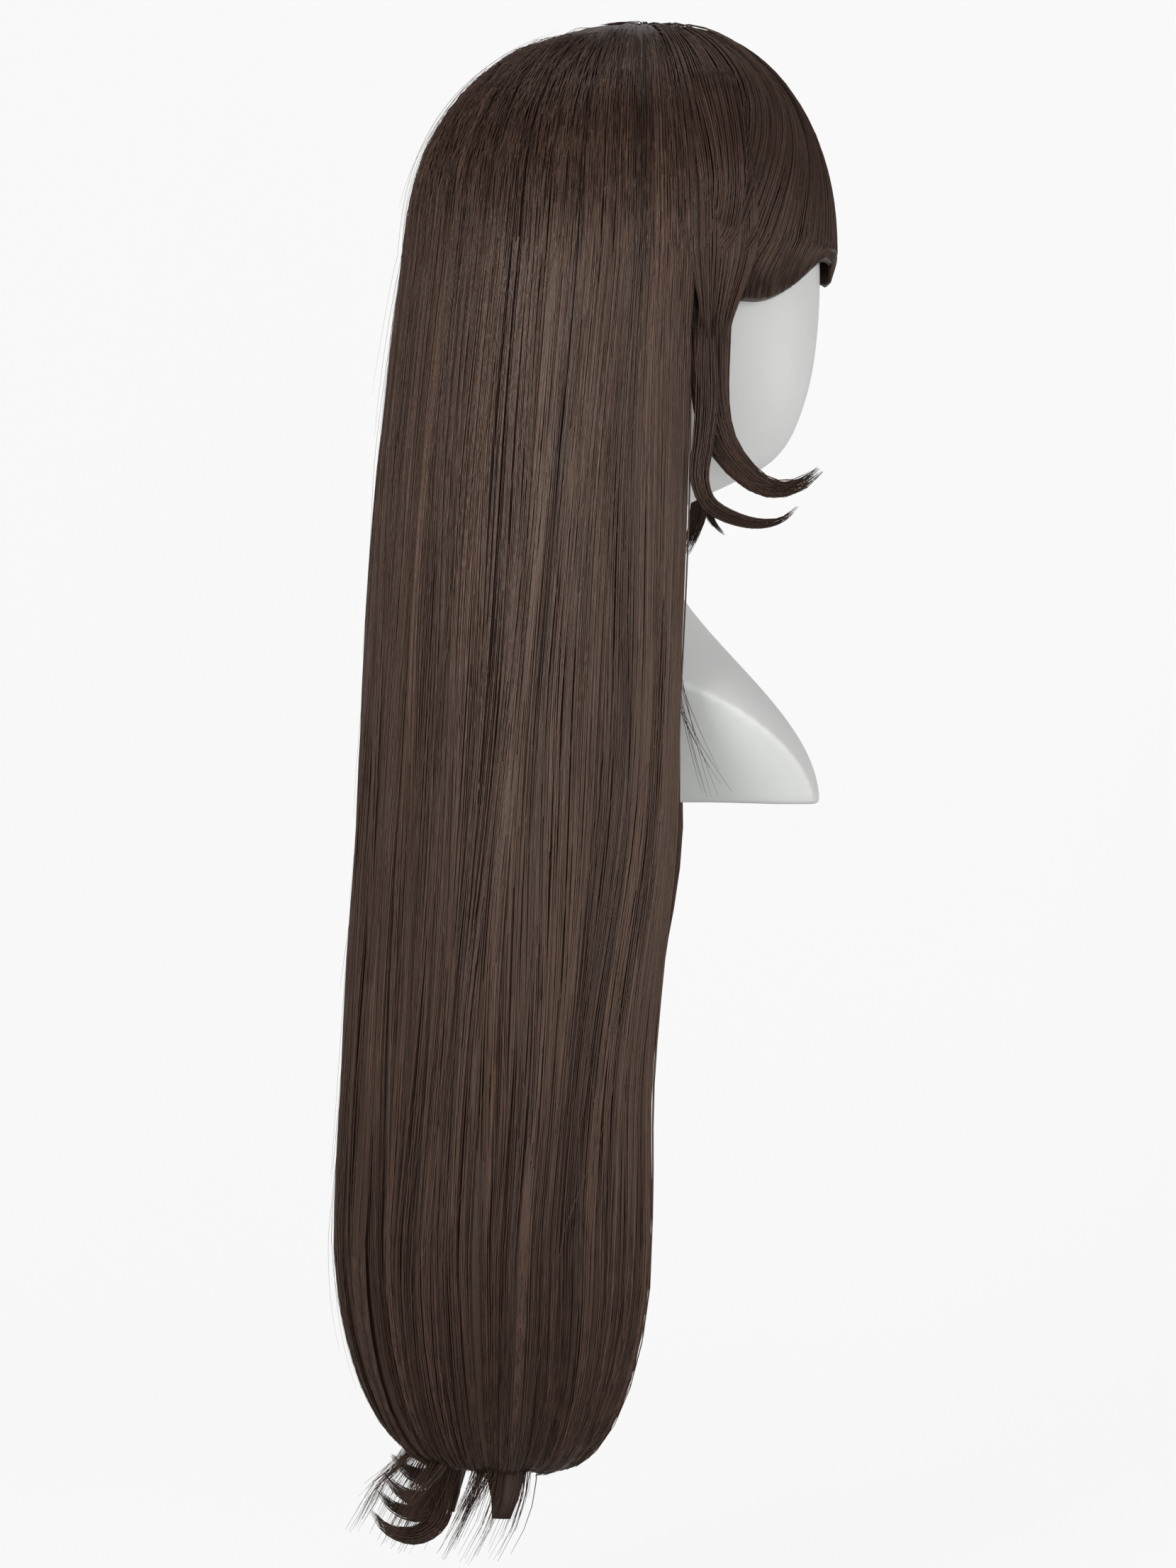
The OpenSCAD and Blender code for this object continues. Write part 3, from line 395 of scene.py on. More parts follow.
def moulded_head():
    piece = head_form()
    for tool in (arch_tool(), side_tool(1), side_tool(-1), bore_tool(BORE_R, FOOT_Z - PAST, BORE_TOP)):
        cut_away(piece, tool)
    bpy.context.view_layer.objects.active = piece
    remesh = piece.modifiers.new("even", "REMESH")
    remesh.mode, remesh.voxel_size = "VOXEL", EVEN_FACE * MM
    bpy.ops.object.modifier_apply(modifier=remesh.name)
    soften = piece.modifiers.new("soften", "SMOOTH")
    soften.factor, soften.iterations = 0.5, SOFT_PASSES
    bpy.ops.object.modifier_apply(modifier=soften.name)
    piece.data.shade_smooth()
    piece.name = "moulded_head"
    return piece


def satin_white():
    material, shader = new_material("satin_white")
    place = add_node(material, "ShaderNodeTexCoord").outputs["Object"]
    cloud = add_node(material, "ShaderNodeTexNoise", {"Scale": 9, "Detail": 3}, {"Vector": place})
    whites = [(0.3, (0.74, 0.755, 0.745)), (0.7, (0.79, 0.80, 0.79))]
    colour = tone_ramp(material, cloud.outputs["Fac"], whites)
    join(material, colour, shader.inputs["Base Color"])
    grain = add_node(material, "ShaderNodeTexNoise", {"Scale": 900, "Detail": 2}, {"Vector": place})
    rough = add_node(material, "ShaderNodeMapRange", {"To Min": 0.38, "To Max": 0.52},
                     {"Value": grain.outputs["Fac"]})
    join(material, rough.outputs["Result"], shader.inputs["Roughness"])
    bump = add_node(material, "ShaderNodeBump", {"Strength": 0.12, "Distance": 0.0004},
                    {"Height": grain.outputs["Fac"]})
    join(material, bump.outputs["Normal"], shader.inputs["Normal"])
    return material


head = moulded_head()
head.data.materials.clear()
head.data.materials.append(satin_white())
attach(head, "head")
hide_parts("head_shell", "bust_foot_front", "bust_foot_back")
print("head faces", len(head.data.polygons))

# %% [markdown]
# Every strand of the wig is named by its turn round the crown: 0 at the back, 90 over the right
# ear, 180 at the forehead, and negative on the left. It runs over the skull and then down the
# hanging wall of hair. Depth 0 is the inner face of the hair and 1 the outer face. The same map
# gives the solids of the part, so the strands lie where the solids are.
# %% The map of the hair
HAIR_D = 5.1
TOP_T, SIDE_T, BACK_T, FRONT_T = 17, 18, 25, 5
FULLNESS = 0.909
EDGE_TURN, ROUND_EDGE = 104, 26
EDGE_THIN, SWELL = 0.3, 1.16
DRAPE_HALF, DRAPE_BACK = SKULL_A + HAIR_D, BUST_BACK + 8
ENDS_Z, CURL_H, CURL_IN = -240, 122, 0.6
TAIL_EXTRA, TAIL_IN, TAIL_SWEEP, BACK_DRIFT = 60, 0.58, 16, 14
EDGE_AT_BUST, EDGE_AT_ENDS = 52, 34
AIM_X, AIM_F = 34, -48


def cover(turn):
    """Thickness of the hair over the skull in the direction of turn."""
    lead = np.where(cosd(turn) > 0, BACK_T, FRONT_T)
    return np.hypot(lead * cosd(turn), SIDE_T * sind(turn))


def over_skull(turn, polar, depth):
    e = lerp(1, FULLNESS, depth)
    d = HAIR_D + depth * cover(turn)
    s = sind(np.clip(polar, 0.01, 90)) ** e
    c = np.maximum(0, cosd(polar)) ** e
    return np.stack([-(SKULL_A + d) * s * sind(turn), (SKULL_B + d) * s * cosd(turn) - SKULL_F,
                     BROW_Z + (DOME_H + HAIR_D + depth * TOP_T) * c], axis=-1)


def hanging(turn, z, depth):
    down = ease((BROW_Z - z) / (BROW_Z - 60))
    low = np.clip((BROW_Z - z) / (BROW_Z - FOOT_Z), 0, 1)
    past = np.clip((FOOT_Z - z) / (FOOT_Z - ENDS_Z), 0, 1)
    half = lerp(SKULL_A + HAIR_D, DRAPE_HALF, down)
    reach = lerp(SKULL_BACK + HAIR_D, DRAPE_BACK, low**0.7) + BACK_DRIFT * past
    mid = lerp(SKULL_F, -10, np.clip((BROW_Z - z) / (BROW_Z - ENDS_Z), 0, 1))
    edge_at_brow = SKULL_F - cosd(EDGE_TURN) * (SKULL_B + HAIR_D)
    front = lerp(lerp(edge_at_brow, EDGE_AT_BUST, down), EDGE_AT_ENDS, ease(past * 1.35)) - mid
    fall = BROW_Z - z
    u = np.clip((np.abs(turn) - EDGE_TURN + ROUND_EDGE) / ROUND_EDGE, 0, 1)
    thinner = lerp(1, lerp(1, EDGE_THIN, u * u), ease(fall / 70))
    t = depth * cover(turn) * thinner * lerp(1, SWELL, np.clip(fall / 120, 0, 1))
    c = cosd(turn)
    y = np.where(c > 0, (reach + mid + t) * c, -c / cosd(EDGE_TURN) * (front + EDGE_THIN * t)) - mid
    return np.stack([-(half + t) * sind(turn), y, z + 0 * t], axis=-1)


def drawn_in(turn, z, depth, share):
    p = hanging(turn, np.maximum(z, ENDS_Z), depth)
    side = np.where(sind(turn) < 0, -1, 1)
    x = lerp(p[..., 0], -side * AIM_X * np.minimum(1, np.abs(sind(turn)) * 3), share)
    return np.stack([x, lerp(p[..., 1], -AIM_F, share), z + 0 * x], axis=-1)


def turned_in(turn, drop, angle, depth):
    return drawn_in(turn, ENDS_Z - (drop + 6 * depth) * sind(angle), depth, CURL_IN * (1 - cosd(angle)))


TAIL_FROM, TAIL_FULL = ENDS_Z + 25, ENDS_Z - 110
TAIL_END = ENDS_Z - CURL_H - TAIL_EXTRA


def tail_at(turn, z, depth):
    share = TAIL_IN * ease((TAIL_FROM - z) / (TAIL_FROM - TAIL_FULL))
    p = drawn_in(turn, z, depth, share)
    p[..., 1] = np.where(z > TAIL_FROM, hanging(turn, z, depth)[..., 1], p[..., 1])
    p[..., 0] = np.where(z > TAIL_FROM, hanging(turn, z, depth)[..., 0], p[..., 0])
    swept = np.clip((TAIL_FULL - 30 - z) / (TAIL_FULL - 30 - TAIL_END), 0, 1)
    p[..., 1] += TAIL_SWEEP * swept**2
    return p


# %% [markdown]
# A strand's length is counted in millimetres from the crown, so that its waves and its end can be
# placed along it. The run goes over the skull, down the hanging hair, and round the turned-in end.
# %% Places along a strand
TOP_RUN, HANG_RUN, CURL_RUN = 150, BROW_Z - ENDS_Z, 172


def along_outer(turn, run, depth):
    top = over_skull(turn, 90 * np.clip(run / TOP_RUN, 0, 1), depth)
    hang = hanging(turn, np.clip(BROW_Z + TOP_RUN - run, ENDS_Z, BROW_Z), depth)
    curl = turned_in(turn, CURL_H, 90 * np.clip((run - TOP_RUN - HANG_RUN) / CURL_RUN, 0, 1), depth)
    far = run[..., None] if run.ndim == depth.ndim else (run + 0 * depth)[..., None]
    return np.where(far < TOP_RUN, top, np.where(far < TOP_RUN + HANG_RUN, hang, curl))


def soft_noise(rng, turn, run, across, along, count=7):
    """A smooth random field over the hair: about `across` degrees by `along` millimetres a wave."""
    value = 0
    for _ in range(count):
        a = 360 / across * rng.uniform(0.5, 1.3) * rng.choice([-1, 1])
        b = 360 / along * rng.uniform(0.3, 1.2)
        value = value + np.sin(np.radians(a * turn + b * run + rng.uniform(0, 360)))
    return value / math.sqrt(count)


# %% [markdown]
# Particle hair can't be exported as a solid, so each strand is a thin closed tube with three
# sides, wide across the hair and flatter through it. Three sides are enough, because shading is
# smooth and a strand is hardly wider than a dot on the screen. It starts and ends almost in a
# point, as a tapering lock of fibres does.
# %% Tubes for strands
def tube_strands(paths, widths, flat=0.6):
    """Points and faces of three-sided tubes. paths is strand, point, xyz; widths is strand, point."""
    count, steps, _ = paths.shape
    ahead = np.empty_like(paths)
    ahead[:, 1:-1] = paths[:, 2:] - paths[:, :-2]
    ahead[:, 0] = paths[:, 1] - paths[:, 0]
    ahead[:, -1] = paths[:, -1] - paths[:, -2]
    ahead /= np.linalg.norm(ahead, axis=2, keepdims=True) + 1e-9
    middle = paths * [1, 1, 0] - np.array([0, -15, 0])
    middle[..., 2] = np.maximum(0, paths[..., 2] - BROW_Z + 20)
    side = np.cross(middle, ahead)
    side /= np.linalg.norm(side, axis=2, keepdims=True) + 1e-9
    out = np.cross(ahead, side)
    w = widths[..., None] / 2
    rings = np.stack([paths + out * w * flat, paths + side * w - out * w * flat * 0.6,
                      paths - side * w - out * w * flat * 0.6], axis=2)
    index = np.arange(count * steps * 3).reshape(count, steps, 3)
    a, b = index[:, :-1], index[:, 1:]
    quads = np.stack([a, b, np.roll(b, -1, axis=2), np.roll(a, -1, axis=2)], axis=-1).reshape(-1, 4)
    caps = np.concatenate([index[:, 0, :], index[:, -1, ::-1]])
    u = (np.arange(count)[:, None, None] + np.array([0.15, 0.5, 0.85])) / count
    v = np.linspace(0.02, 0.98, steps)[None, :, None]
    uv = np.stack(np.broadcast_arrays(u, v), axis=-1).reshape(-1, 2)
    return rings.reshape(-1, 3), quads, caps, uv


def taper(steps, start=0.12, end=0.35, tip=0.15):
    s = np.linspace(0, 1, steps)
    return np.minimum(lerp(0.2, 1, np.clip(s / start, 0, 1)),
                      lerp(tip, 1, np.clip((1 - s) / end, 0, 1) ** 0.8))


# %% [markdown]
# Under the strands lies a plain closed core, a little smaller than the outer face, so that no
# gap shows light through the wig. Core and strands make one piece for each lock of hair. The core
# is given a darker tone than the strands: painted shade where it shows between them.
# %% Cores under the strands
def closed_core(outer, inner):
    """A closed wall between two grids of points."""
    rows, cols = outer.shape[:2]
    n = rows * cols
    grid = np.arange(n).reshape(rows, cols)
    face = np.stack([grid[:-1, :-1], grid[:-1, 1:], grid[1:, 1:], grid[1:, :-1]], axis=-1)
    face = face.reshape(-1, 4)
    rim = np.concatenate([grid[0, :], grid[1:, -1], grid[-1, -2::-1], grid[-2::-1, 0]])
    wall = np.stack([rim[:-1], rim[:-1] + n, rim[1:] + n, rim[1:]], axis=-1)
    faces = np.concatenate([face, face[:, ::-1] + n, wall])
    u, v = np.meshgrid(np.linspace(0.02, 0.98, cols), np.linspace(0.02, 0.98, rows))
    uv = np.stack([u, v], axis=-1).reshape(-1, 2)
    return np.concatenate([outer.reshape(-1, 3), inner.reshape(-1, 3)]), faces, np.concatenate([uv, uv])


def hair_piece(name, nodes, strands, tones, core=None, core_shade_tone=0.2):
    """One piece of strands, with a core if it has one. strands is a list of (paths, widths)."""
    points, faces, tone, uv, start = [], [], [], [], 0
    if core is not None:
        p, f, m = closed_core(*core)
        points.append(p)
        faces += f.tolist()
        uv.append(m * [0.2, 1])
        # painted shade: the core is coloured darker than the strands around it
        tone.append(np.full(len(p), core_shade_tone))
        start = len(p)
    for (paths, widths), shade in zip(strands, tones):
        p, quads, caps, m = tube_strands(paths, widths)
        points.append(p)
        faces += (quads + start).tolist() + (caps + start).tolist()
        uv.append(m * [0.8, 1] + [0.2, 0])
        tone.append(np.repeat(shade, paths.shape[1] * 3))
        start += len(p)
    piece = mesh_piece(name, np.concatenate(points), faces, hair_fibre, "wig", nodes,
                       np.concatenate(tone), np.concatenate(uv))
    return piece


def fibre_finish():
    material, shader = new_material("hair_fibre")
    tone = add_node(material, "ShaderNodeAttribute", attribute_name="tone").outputs["Fac"]
    place = add_node(material, "ShaderNodeTexCoord").outputs["Object"]
    spread = add_node(material, "ShaderNodeMapping", {"Scale": (60, 60, 5)}, {"Vector": place})
    streak = add_node(material, "ShaderNodeTexNoise", {"Scale": 1.0, "Detail": 4},
                      {"Vector": spread.outputs[0]})
    blend = add_node(material, "ShaderNodeMix", {"Factor": 0.4},
                     {"A": tone, "B": streak.outputs["Fac"]})
    colour = tone_ramp(material, blend.outputs["Result"], [
        (0.12, (0.016, 0.0075, 0.0055)), (0.5, (0.042, 0.0215, 0.0150)), (0.9, (0.105, 0.062, 0.043))])
    join(material, colour, shader.inputs["Base Color"])
    shader.inputs["Roughness"].default_value = 0.36
    shader.inputs["Specular IOR Level"].default_value = 0.5
    shader.inputs["Specular Tint"].default_value = (1.0, 0.80, 0.68, 1)
    fine = add_node(material, "ShaderNodeMapping", {"Scale": (1800, 1800, 30)}, {"Vector": place})
    ridge = add_node(material, "ShaderNodeTexNoise", {"Scale": 1.0, "Detail": 2},
                     {"Vector": fine.outputs[0]})
    bump = add_node(material, "ShaderNodeBump", {"Strength": 0.35, "Distance": 0.0006},
                    {"Height": ridge.outputs["Fac"]})
    join(material, bump.outputs["Normal"], shader.inputs["Normal"])
    return material


hair_fibre = fibre_finish()

# %% [markdown]
# The outer curtain falls in eight locks, from the crown over the skull and down to ends that
# curl under. Strands start at many heights, so that the crown isn't crowded, and sink a little
# under their neighbours there. Slow waves lift and lower whole bands of them, which breaks the
# light up into the streaks of combed hair, and towards the ends the strands draw together
# into small wisps.
# %% The outer curtain
SECTOR = EDGE_TURN / 4
OUTER_COUNT, OUTER_STEPS = 520, 30


def wandering(seed, turn, run):
    """How far a strand at a place moves round the head (degrees) and out of it (millimetres)."""
    rng = np.random.default_rng(seed)
    grow = np.clip((run - 60) / 500, 0, 1)
    sway = soft_noise(rng, turn, run, 30, 500) * 1.6 * grow
    lift = soft_noise(rng, turn, run, 16, 700) * lerp(0.5, 2.2, grow)
    lift = lift + soft_noise(rng, turn, run, 7, 350) * lerp(0.3, 1.0, grow)
    return sway, lift


def outer_lock(side, i):
    rng = np.random.default_rng(100 + 10 * i + (side > 0))
    a = SECTOR * (i - 1)
    spill = 1.5
    turn0 = side * np.clip(rng.uniform(a - spill, a + SECTOR + spill, OUTER_COUNT), -2, EDGE_TURN - 0.5)
    first = TOP_RUN * np.degrees(np.arcsin(rng.uniform(0.07, 1, OUTER_COUNT))) / 90
    ends = TOP_RUN + HANG_RUN + CURL_RUN * rng.uniform(0.45, 0.98, OUTER_COUNT) ** 0.8
    ends -= np.where(rng.random(OUTER_COUNT) < 0.12, rng.uniform(60, 260, OUTER_COUNT), 0)
    s = np.linspace(0, 1, OUTER_STEPS)
    run = first[:, None] + (ends - first)[:, None] * s ** 0.92
    depth0 = 1 - np.abs(rng.normal(0, 0.05, OUTER_COUNT))
    cell = 3.2
    gather = (np.floor(turn0 / cell) + 0.5) * cell + rng.uniform(-0.6, 0.6, OUTER_COUNT)
    pull = 0.55 * ease((run - 420) / 420)
    turn = lerp(turn0[:, None], gather[:, None], pull)
    sway, lift = wandering(7, turn, run)
    each = (OUTER_COUNT, 1)
    own = rng.normal(0, 0.5, each) * np.sin(run / rng.uniform(90, 200, each) + rng.uniform(0, 6, each))
    turn = np.clip(turn + sway + own * np.clip(run / 400, 0.1, 1), -179, 179)
    sink = 0.16 * (1 - ease((run - first[:, None]) / 22))
    depth = np.clip(depth0[:, None] - sink + lift / cover(turn0)[:, None], 0.55, 1.13)
    paths = along_outer(turn, run, depth)
    widths = rng.uniform(0.8, 1.5, OUTER_COUNT)[:, None] * taper(OUTER_STEPS)[None]
    band = soft_noise(np.random.default_rng(3), turn0, 0 * turn0, 9, 400)
    tones = np.clip(rng.normal(0.5, 0.2, OUTER_COUNT) + 0.12 * band, 0, 1)
    cols = np.linspace(side * a, side * (a + SECTOR), 17)
    rows = np.concatenate([np.linspace(9, TOP_RUN, 16),
                           np.linspace(TOP_RUN, TOP_RUN + HANG_RUN, 34)[1:],
                           TOP_RUN + HANG_RUN + CURL_RUN * np.linspace(0, 0.93, 12)[1:]])
    t, r = np.meshgrid(cols, rows)
    _, hill = wandering(7, t, r)
    outer = along_outer(t, r, np.clip(0.9 + hill / cover(t), 0.6, 1.05))
    inner = along_outer(t, r, np.where(r < TOP_RUN + 15, 0.05, 0.55) + 0 * t)
    label = "right" if side > 0 else "left"
    return hair_piece(f"outer_strands_{label}_{i}", [f"long_hair_{label}_{i}"],
                      [(paths, widths)], [tones], (outer, inner))


for side in (1, -1):
    for i in range(1, 5):
        outer_lock(side, i)
print("outer curtain of", 8 * OUTER_COUNT, "strands")

# %% [markdown]
# Below it hangs a second curtain, longer and drawn together into a tail, whose ends sweep back.
# Its strands and its core are painted darker than the outer curtain, as painted shade for the layer
# beneath.
# %% The under layer
UNDER_TURN, UNDER_COUNT, UNDER_STEPS = 98, 420, 26
UNDER_TOP = BROW_Z - 14


def under_lock(side, i):
    rng = np.random.default_rng(200 + 10 * i + (side > 0))
    half = UNDER_TURN / 2
    a = half * (i - 1)
    turn0 = side * rng.uniform(a, a + half, UNDER_COUNT)
    top = rng.uniform(-60, UNDER_TOP, UNDER_COUNT)
    end = TAIL_END + rng.uniform(0, 75, UNDER_COUNT)
    s = np.linspace(0, 1, UNDER_STEPS)
    z = top[:, None] + (end - top)[:, None] * s ** 0.85
    gather = (np.floor(turn0 / 9) + 0.5) * 9 + rng.uniform(-2, 2, UNDER_COUNT)
    turn = lerp(turn0[:, None], gather[:, None], 0.6 * ease((TAIL_FROM - z) / 130))
    sway, lift = wandering(8, turn, BROW_Z - z)
    depth = np.clip(rng.uniform(0.2, 0.48, UNDER_COUNT)[:, None] + 0 * z, 0.02, 0.49)
    paths = tail_at(turn + sway, z, depth)
    below = np.clip((TAIL_FROM - 60 - z) / 120, 0, 1)
    paths[..., :2] += rng.normal(0, 1, (UNDER_COUNT, 1, 2)) * 3 * below[..., None] ** 1.5
    wisp = np.floor(turn0 / 9).astype(int) % 11
    curl = np.random.default_rng(250 + i).uniform(6, 44, 11)[wisp][:, None]
    paths[..., 1] += curl * below**2.2
    paths[..., 2] += 0.35 * curl * np.maximum(0, below - 0.7) / 0.3
    widths = rng.uniform(0.8, 1.4, UNDER_COUNT)[:, None] * taper(UNDER_STEPS)[None]
    # painted shade: the under layer's strands get darker tones than the outer curtain's
    tones = np.clip(rng.normal(0.36, 0.18, UNDER_COUNT), 0, 1)
    cols = np.linspace(side * a, side * (a + half), 21)
    rows = np.concatenate([np.linspace(UNDER_TOP, TAIL_FROM, 26),
                           np.linspace(TAIL_FROM, TAIL_END + 28, 18)[1:]])
    t, r = np.meshgrid(cols, rows)
    outer, inner = tail_at(t, r, 0.44 + 0 * t), tail_at(t, r, 0.03 + 0 * t)
    gathered = 0.75 * np.clip((TAIL_END + 120 - r) / 90, 0, 1)[..., None] ** 1.5
    middle = outer.mean(axis=1, keepdims=True)
    outer, inner = lerp(outer, middle, gathered), lerp(inner, middle, gathered * 1.02)
    label = "right" if side > 0 else "left"
    # painted shade: this core gets the darkest tone, 0.1
    return hair_piece(f"under_strands_{label}_{i}", [f"under_hair_{label}_{i}"],
                      [(paths, widths)], [tones], (outer, inner), 0.1)


for side in (1, -1):
    for i in (1, 2):
        under_lock(side, i)
print("under layer of", 4 * UNDER_COUNT, "strands")

# %% [markdown]
# The temples carry short sections of hair that run down to the side locks, and the fringe comes
# over the forehead and is combed back to the temples, where it hangs lowest.
# %% Temples and fringe
FRINGE_TURN, FRINGE_Z, FRINGE_RISE, FRINGE_SWEEP = 121, 281, 29, 13
FRINGE_COMB, FRINGE_WAVE, FRINGE_HILL = 17, 0.45, 0.05


def swept(turn, down):
    from_middle = 180 - np.abs(turn)
    moved = FRINGE_SWEEP * ease(down) * sind(180 * np.clip(from_middle / (180 - FRINGE_TURN), 0, 1))
    return np.sign(turn) * (np.abs(turn) - moved)


def fringe_end(turn):
    return FRINGE_Z + FRINGE_RISE * ease((np.abs(turn) - 125) / 40) - np.where(
        turn < 0, 10 * np.clip((np.abs(turn) - 150) / 20, 0, 1), 0)


def fringe_place(turn0, run, depth, comb=0):
    """Over the skull for TOP_RUN, then down the forehead for one more unit of run."""
    polar = 90 * np.clip(run / TOP_RUN, 0, 1)
    down = np.clip((run - TOP_RUN) / 40, 0, 1)
    turn = swept(turn0, np.where(down > 0, lerp(0.7, 1, down), 0.7 * np.clip((polar - 45) / 45, 0, 1)))
    back = np.clip((175 - np.abs(turn0)) / 30, 0.25, 1)
    turn = turn - np.sign(turn0) * comb * back * ease((run - 70) / 120)
    p = over_skull(turn, polar, depth)
    p[..., 2] = np.where(down > 0, lerp(BROW_Z, fringe_end(turn) + 6 * depth, down), p[..., 2])
    return p


def fringe_lock(side, i, count=260, steps=22):
    rng = np.random.default_rng(300 + 10 * i + (side > 0))
    part = (180 - FRINGE_TURN) / 3
    a = FRINGE_TURN + part * (i - 1)
    turn0 = side * np.minimum(rng.uniform(a - 1, a + part + 1, count), 179.5)
    first = TOP_RUN * np.degrees(np.arcsin(rng.uniform(0.07, 1, count))) / 90
    ends = TOP_RUN + 40 * rng.uniform(0.8, 1.02, count)
    run = first[:, None] + (ends - first)[:, None] * np.linspace(0, 1, steps)
    thin = lerp(1, 0.35, np.clip((run - TOP_RUN) / 40, 0, 1) ** 2)
    sink = 0.25 * (1 - ease((run - first[:, None]) / 20))
    hill = FRINGE_HILL * soft_noise(np.random.default_rng(5), turn0[:, None], run, 9, 300)
    depth = np.clip((1 - np.abs(rng.normal(0, 0.06, count)))[:, None] - sink + hill, 0.3, 1.1) * thin
    wave = FRINGE_WAVE * np.sin(run / 40 + rng.uniform(0, 6, (count, 1)))
    paths = fringe_place(turn0[:, None] + wave, run, depth, FRINGE_COMB)
    widths = rng.uniform(0.7, 1.3, count)[:, None] * taper(steps, 0.1, 0.25)[None]
    tones = np.clip(rng.normal(0.42, 0.16, count), 0, 1)
    rows = np.concatenate([np.linspace(9, TOP_RUN, 18), np.linspace(TOP_RUN, TOP_RUN + 39, 9)[1:]])
    t, r = np.meshgrid(np.linspace(side * a, side * (a + part), 11), rows)
    thin = lerp(1, 0.35, np.clip((r - TOP_RUN) / 40, 0, 1) ** 2)
    outer, inner = fringe_place(t, r, 0.88 * thin), fringe_place(t, r, 0.05 * thin)
    label = "right" if side > 0 else "left"
    # painted shade: the fringe's core gets the darker tone 0.25
    return hair_piece(f"fringe_strands_{label}_{i}", [f"fringe_{label}_{i}"],
                      [(paths, widths)], [tones], (outer, inner), 0.25)


def temple_place(turn, run, depth):
    fall = ease(np.maximum(0, run - TOP_RUN) / 60)
    towards = lerp(turn, np.sign(turn) * 108, 0.6 * fall)
    p = over_skull(towards, 90 * np.clip(run / TOP_RUN, 0, 1), depth)
    p[..., 2] -= np.maximum(0, run - TOP_RUN)
    return p


def temple_lock(side, count=240, steps=20):
    rng = np.random.default_rng(400 + (side > 0))
    turn0 = side * rng.uniform(EDGE_TURN - 1, FRINGE_TURN + 1, count)
    first = TOP_RUN * np.degrees(np.arcsin(rng.uniform(0.07, 1, count))) / 90
    ends = TOP_RUN + rng.uniform(14, 62, count)
    run = first[:, None] + (ends - first)[:, None] * np.linspace(0, 1, steps)
    sink = 0.16 * (1 - ease((run - first[:, None]) / 20))
    hill = FRINGE_HILL * soft_noise(np.random.default_rng(6), turn0[:, None], run, 9, 300)
    depth = np.clip((1 - np.abs(rng.normal(0, 0.05, count)))[:, None] - sink + hill, 0.4, 1.1)
    paths = temple_place(turn0[:, None] + 0 * run, run, depth)
    widths = rng.uniform(0.8, 1.4, count)[:, None] * taper(steps, 0.1, 0.2)[None]
    tones = np.clip(rng.normal(0.45, 0.17, count), 0, 1)
    rows = np.concatenate([np.linspace(9, TOP_RUN, 18), [TOP_RUN + 12]])
    t, r = np.meshgrid(np.linspace(side * EDGE_TURN, side * FRINGE_TURN, 11), rows)
    outer, inner = temple_place(t, r, 0.9 + 0 * t), temple_place(t, r, 0.05 + 0 * t)
    label = "right" if side > 0 else "left"
    return hair_piece(f"temple_strands_{label}", [f"temple_hair_{label}"],
                      [(paths, widths)], [tones], (outer, inner))


for side in (1, -1):
    temple_lock(side)
    for i in (1, 2, 3):
        fringe_lock(side, i)
print("temples and fringe laid")

# %% [markdown]
# The side locks hang over the cheek. The right one flips forward under the chin in two layers,
# and the left one falls back beside the neck. A lock is a bundle: its strands keep their places
# across the bundle, which narrows to a few fibres at the tip.
# %% Side locks
LOCK_GAP, LOCK_W, LOCK_T = 0.6, 26, 9
LOCK_F = EDGE_AT_BUST + EDGE_THIN * EDGE_THIN * SIDE_T * SWELL + LOCK_GAP + LOCK_W / 2 + 2
ROOT_TURN, LOCK_COUNT = 111.0, 420
flip_path = [(0, -14), (0, -42), (0, -68), (1, -91), (6, -112), (17, -127), (29, -136), (41, -138),
             (54, -134), (63, -126)]
lower_flip_path = [(-1, -46), (-1, -70), (-1, -94), (-3, -116), (-5, -134), (0, -148), (15, -156),
                   (30, -158), (43, -154), (50, -147)]
fall_path = [(0, -14), (0, -42), (0, -70), (0, -96), (-1, -118), (-3, -138), (-7, -154), (-12, -166)]
lower_fall_path = [(-3, -50), (-3, -80), (-3, -110), (0, -132), (5, -146), (12, -154)]


def resample(points, steps):
    points = np.asarray(points, float)
    length = np.concatenate([[0], np.cumsum(np.linalg.norm(np.diff(points, axis=0), axis=1))])
    table = np.column_stack([length, points])
    at = np.linspace(0, length[-1], steps)
    return np.stack([smooth_curve(table, at, k) for k in (1, 2, 3)], axis=1)


def cheek(f):
    return (SKULL_A + HAIR_D) * np.sqrt(np.maximum(0, 1 - ((f - SKULL_F) / SKULL_B) ** 2))


def lock_points(side, path, out, thick):
    rows = []
    for ahead, up in path:
        f = LOCK_F + ahead
        rows.append([-side * (max(50, cheek(f)) + out + thick / 2), -f, BROW_Z + up])
    return np.array(rows)


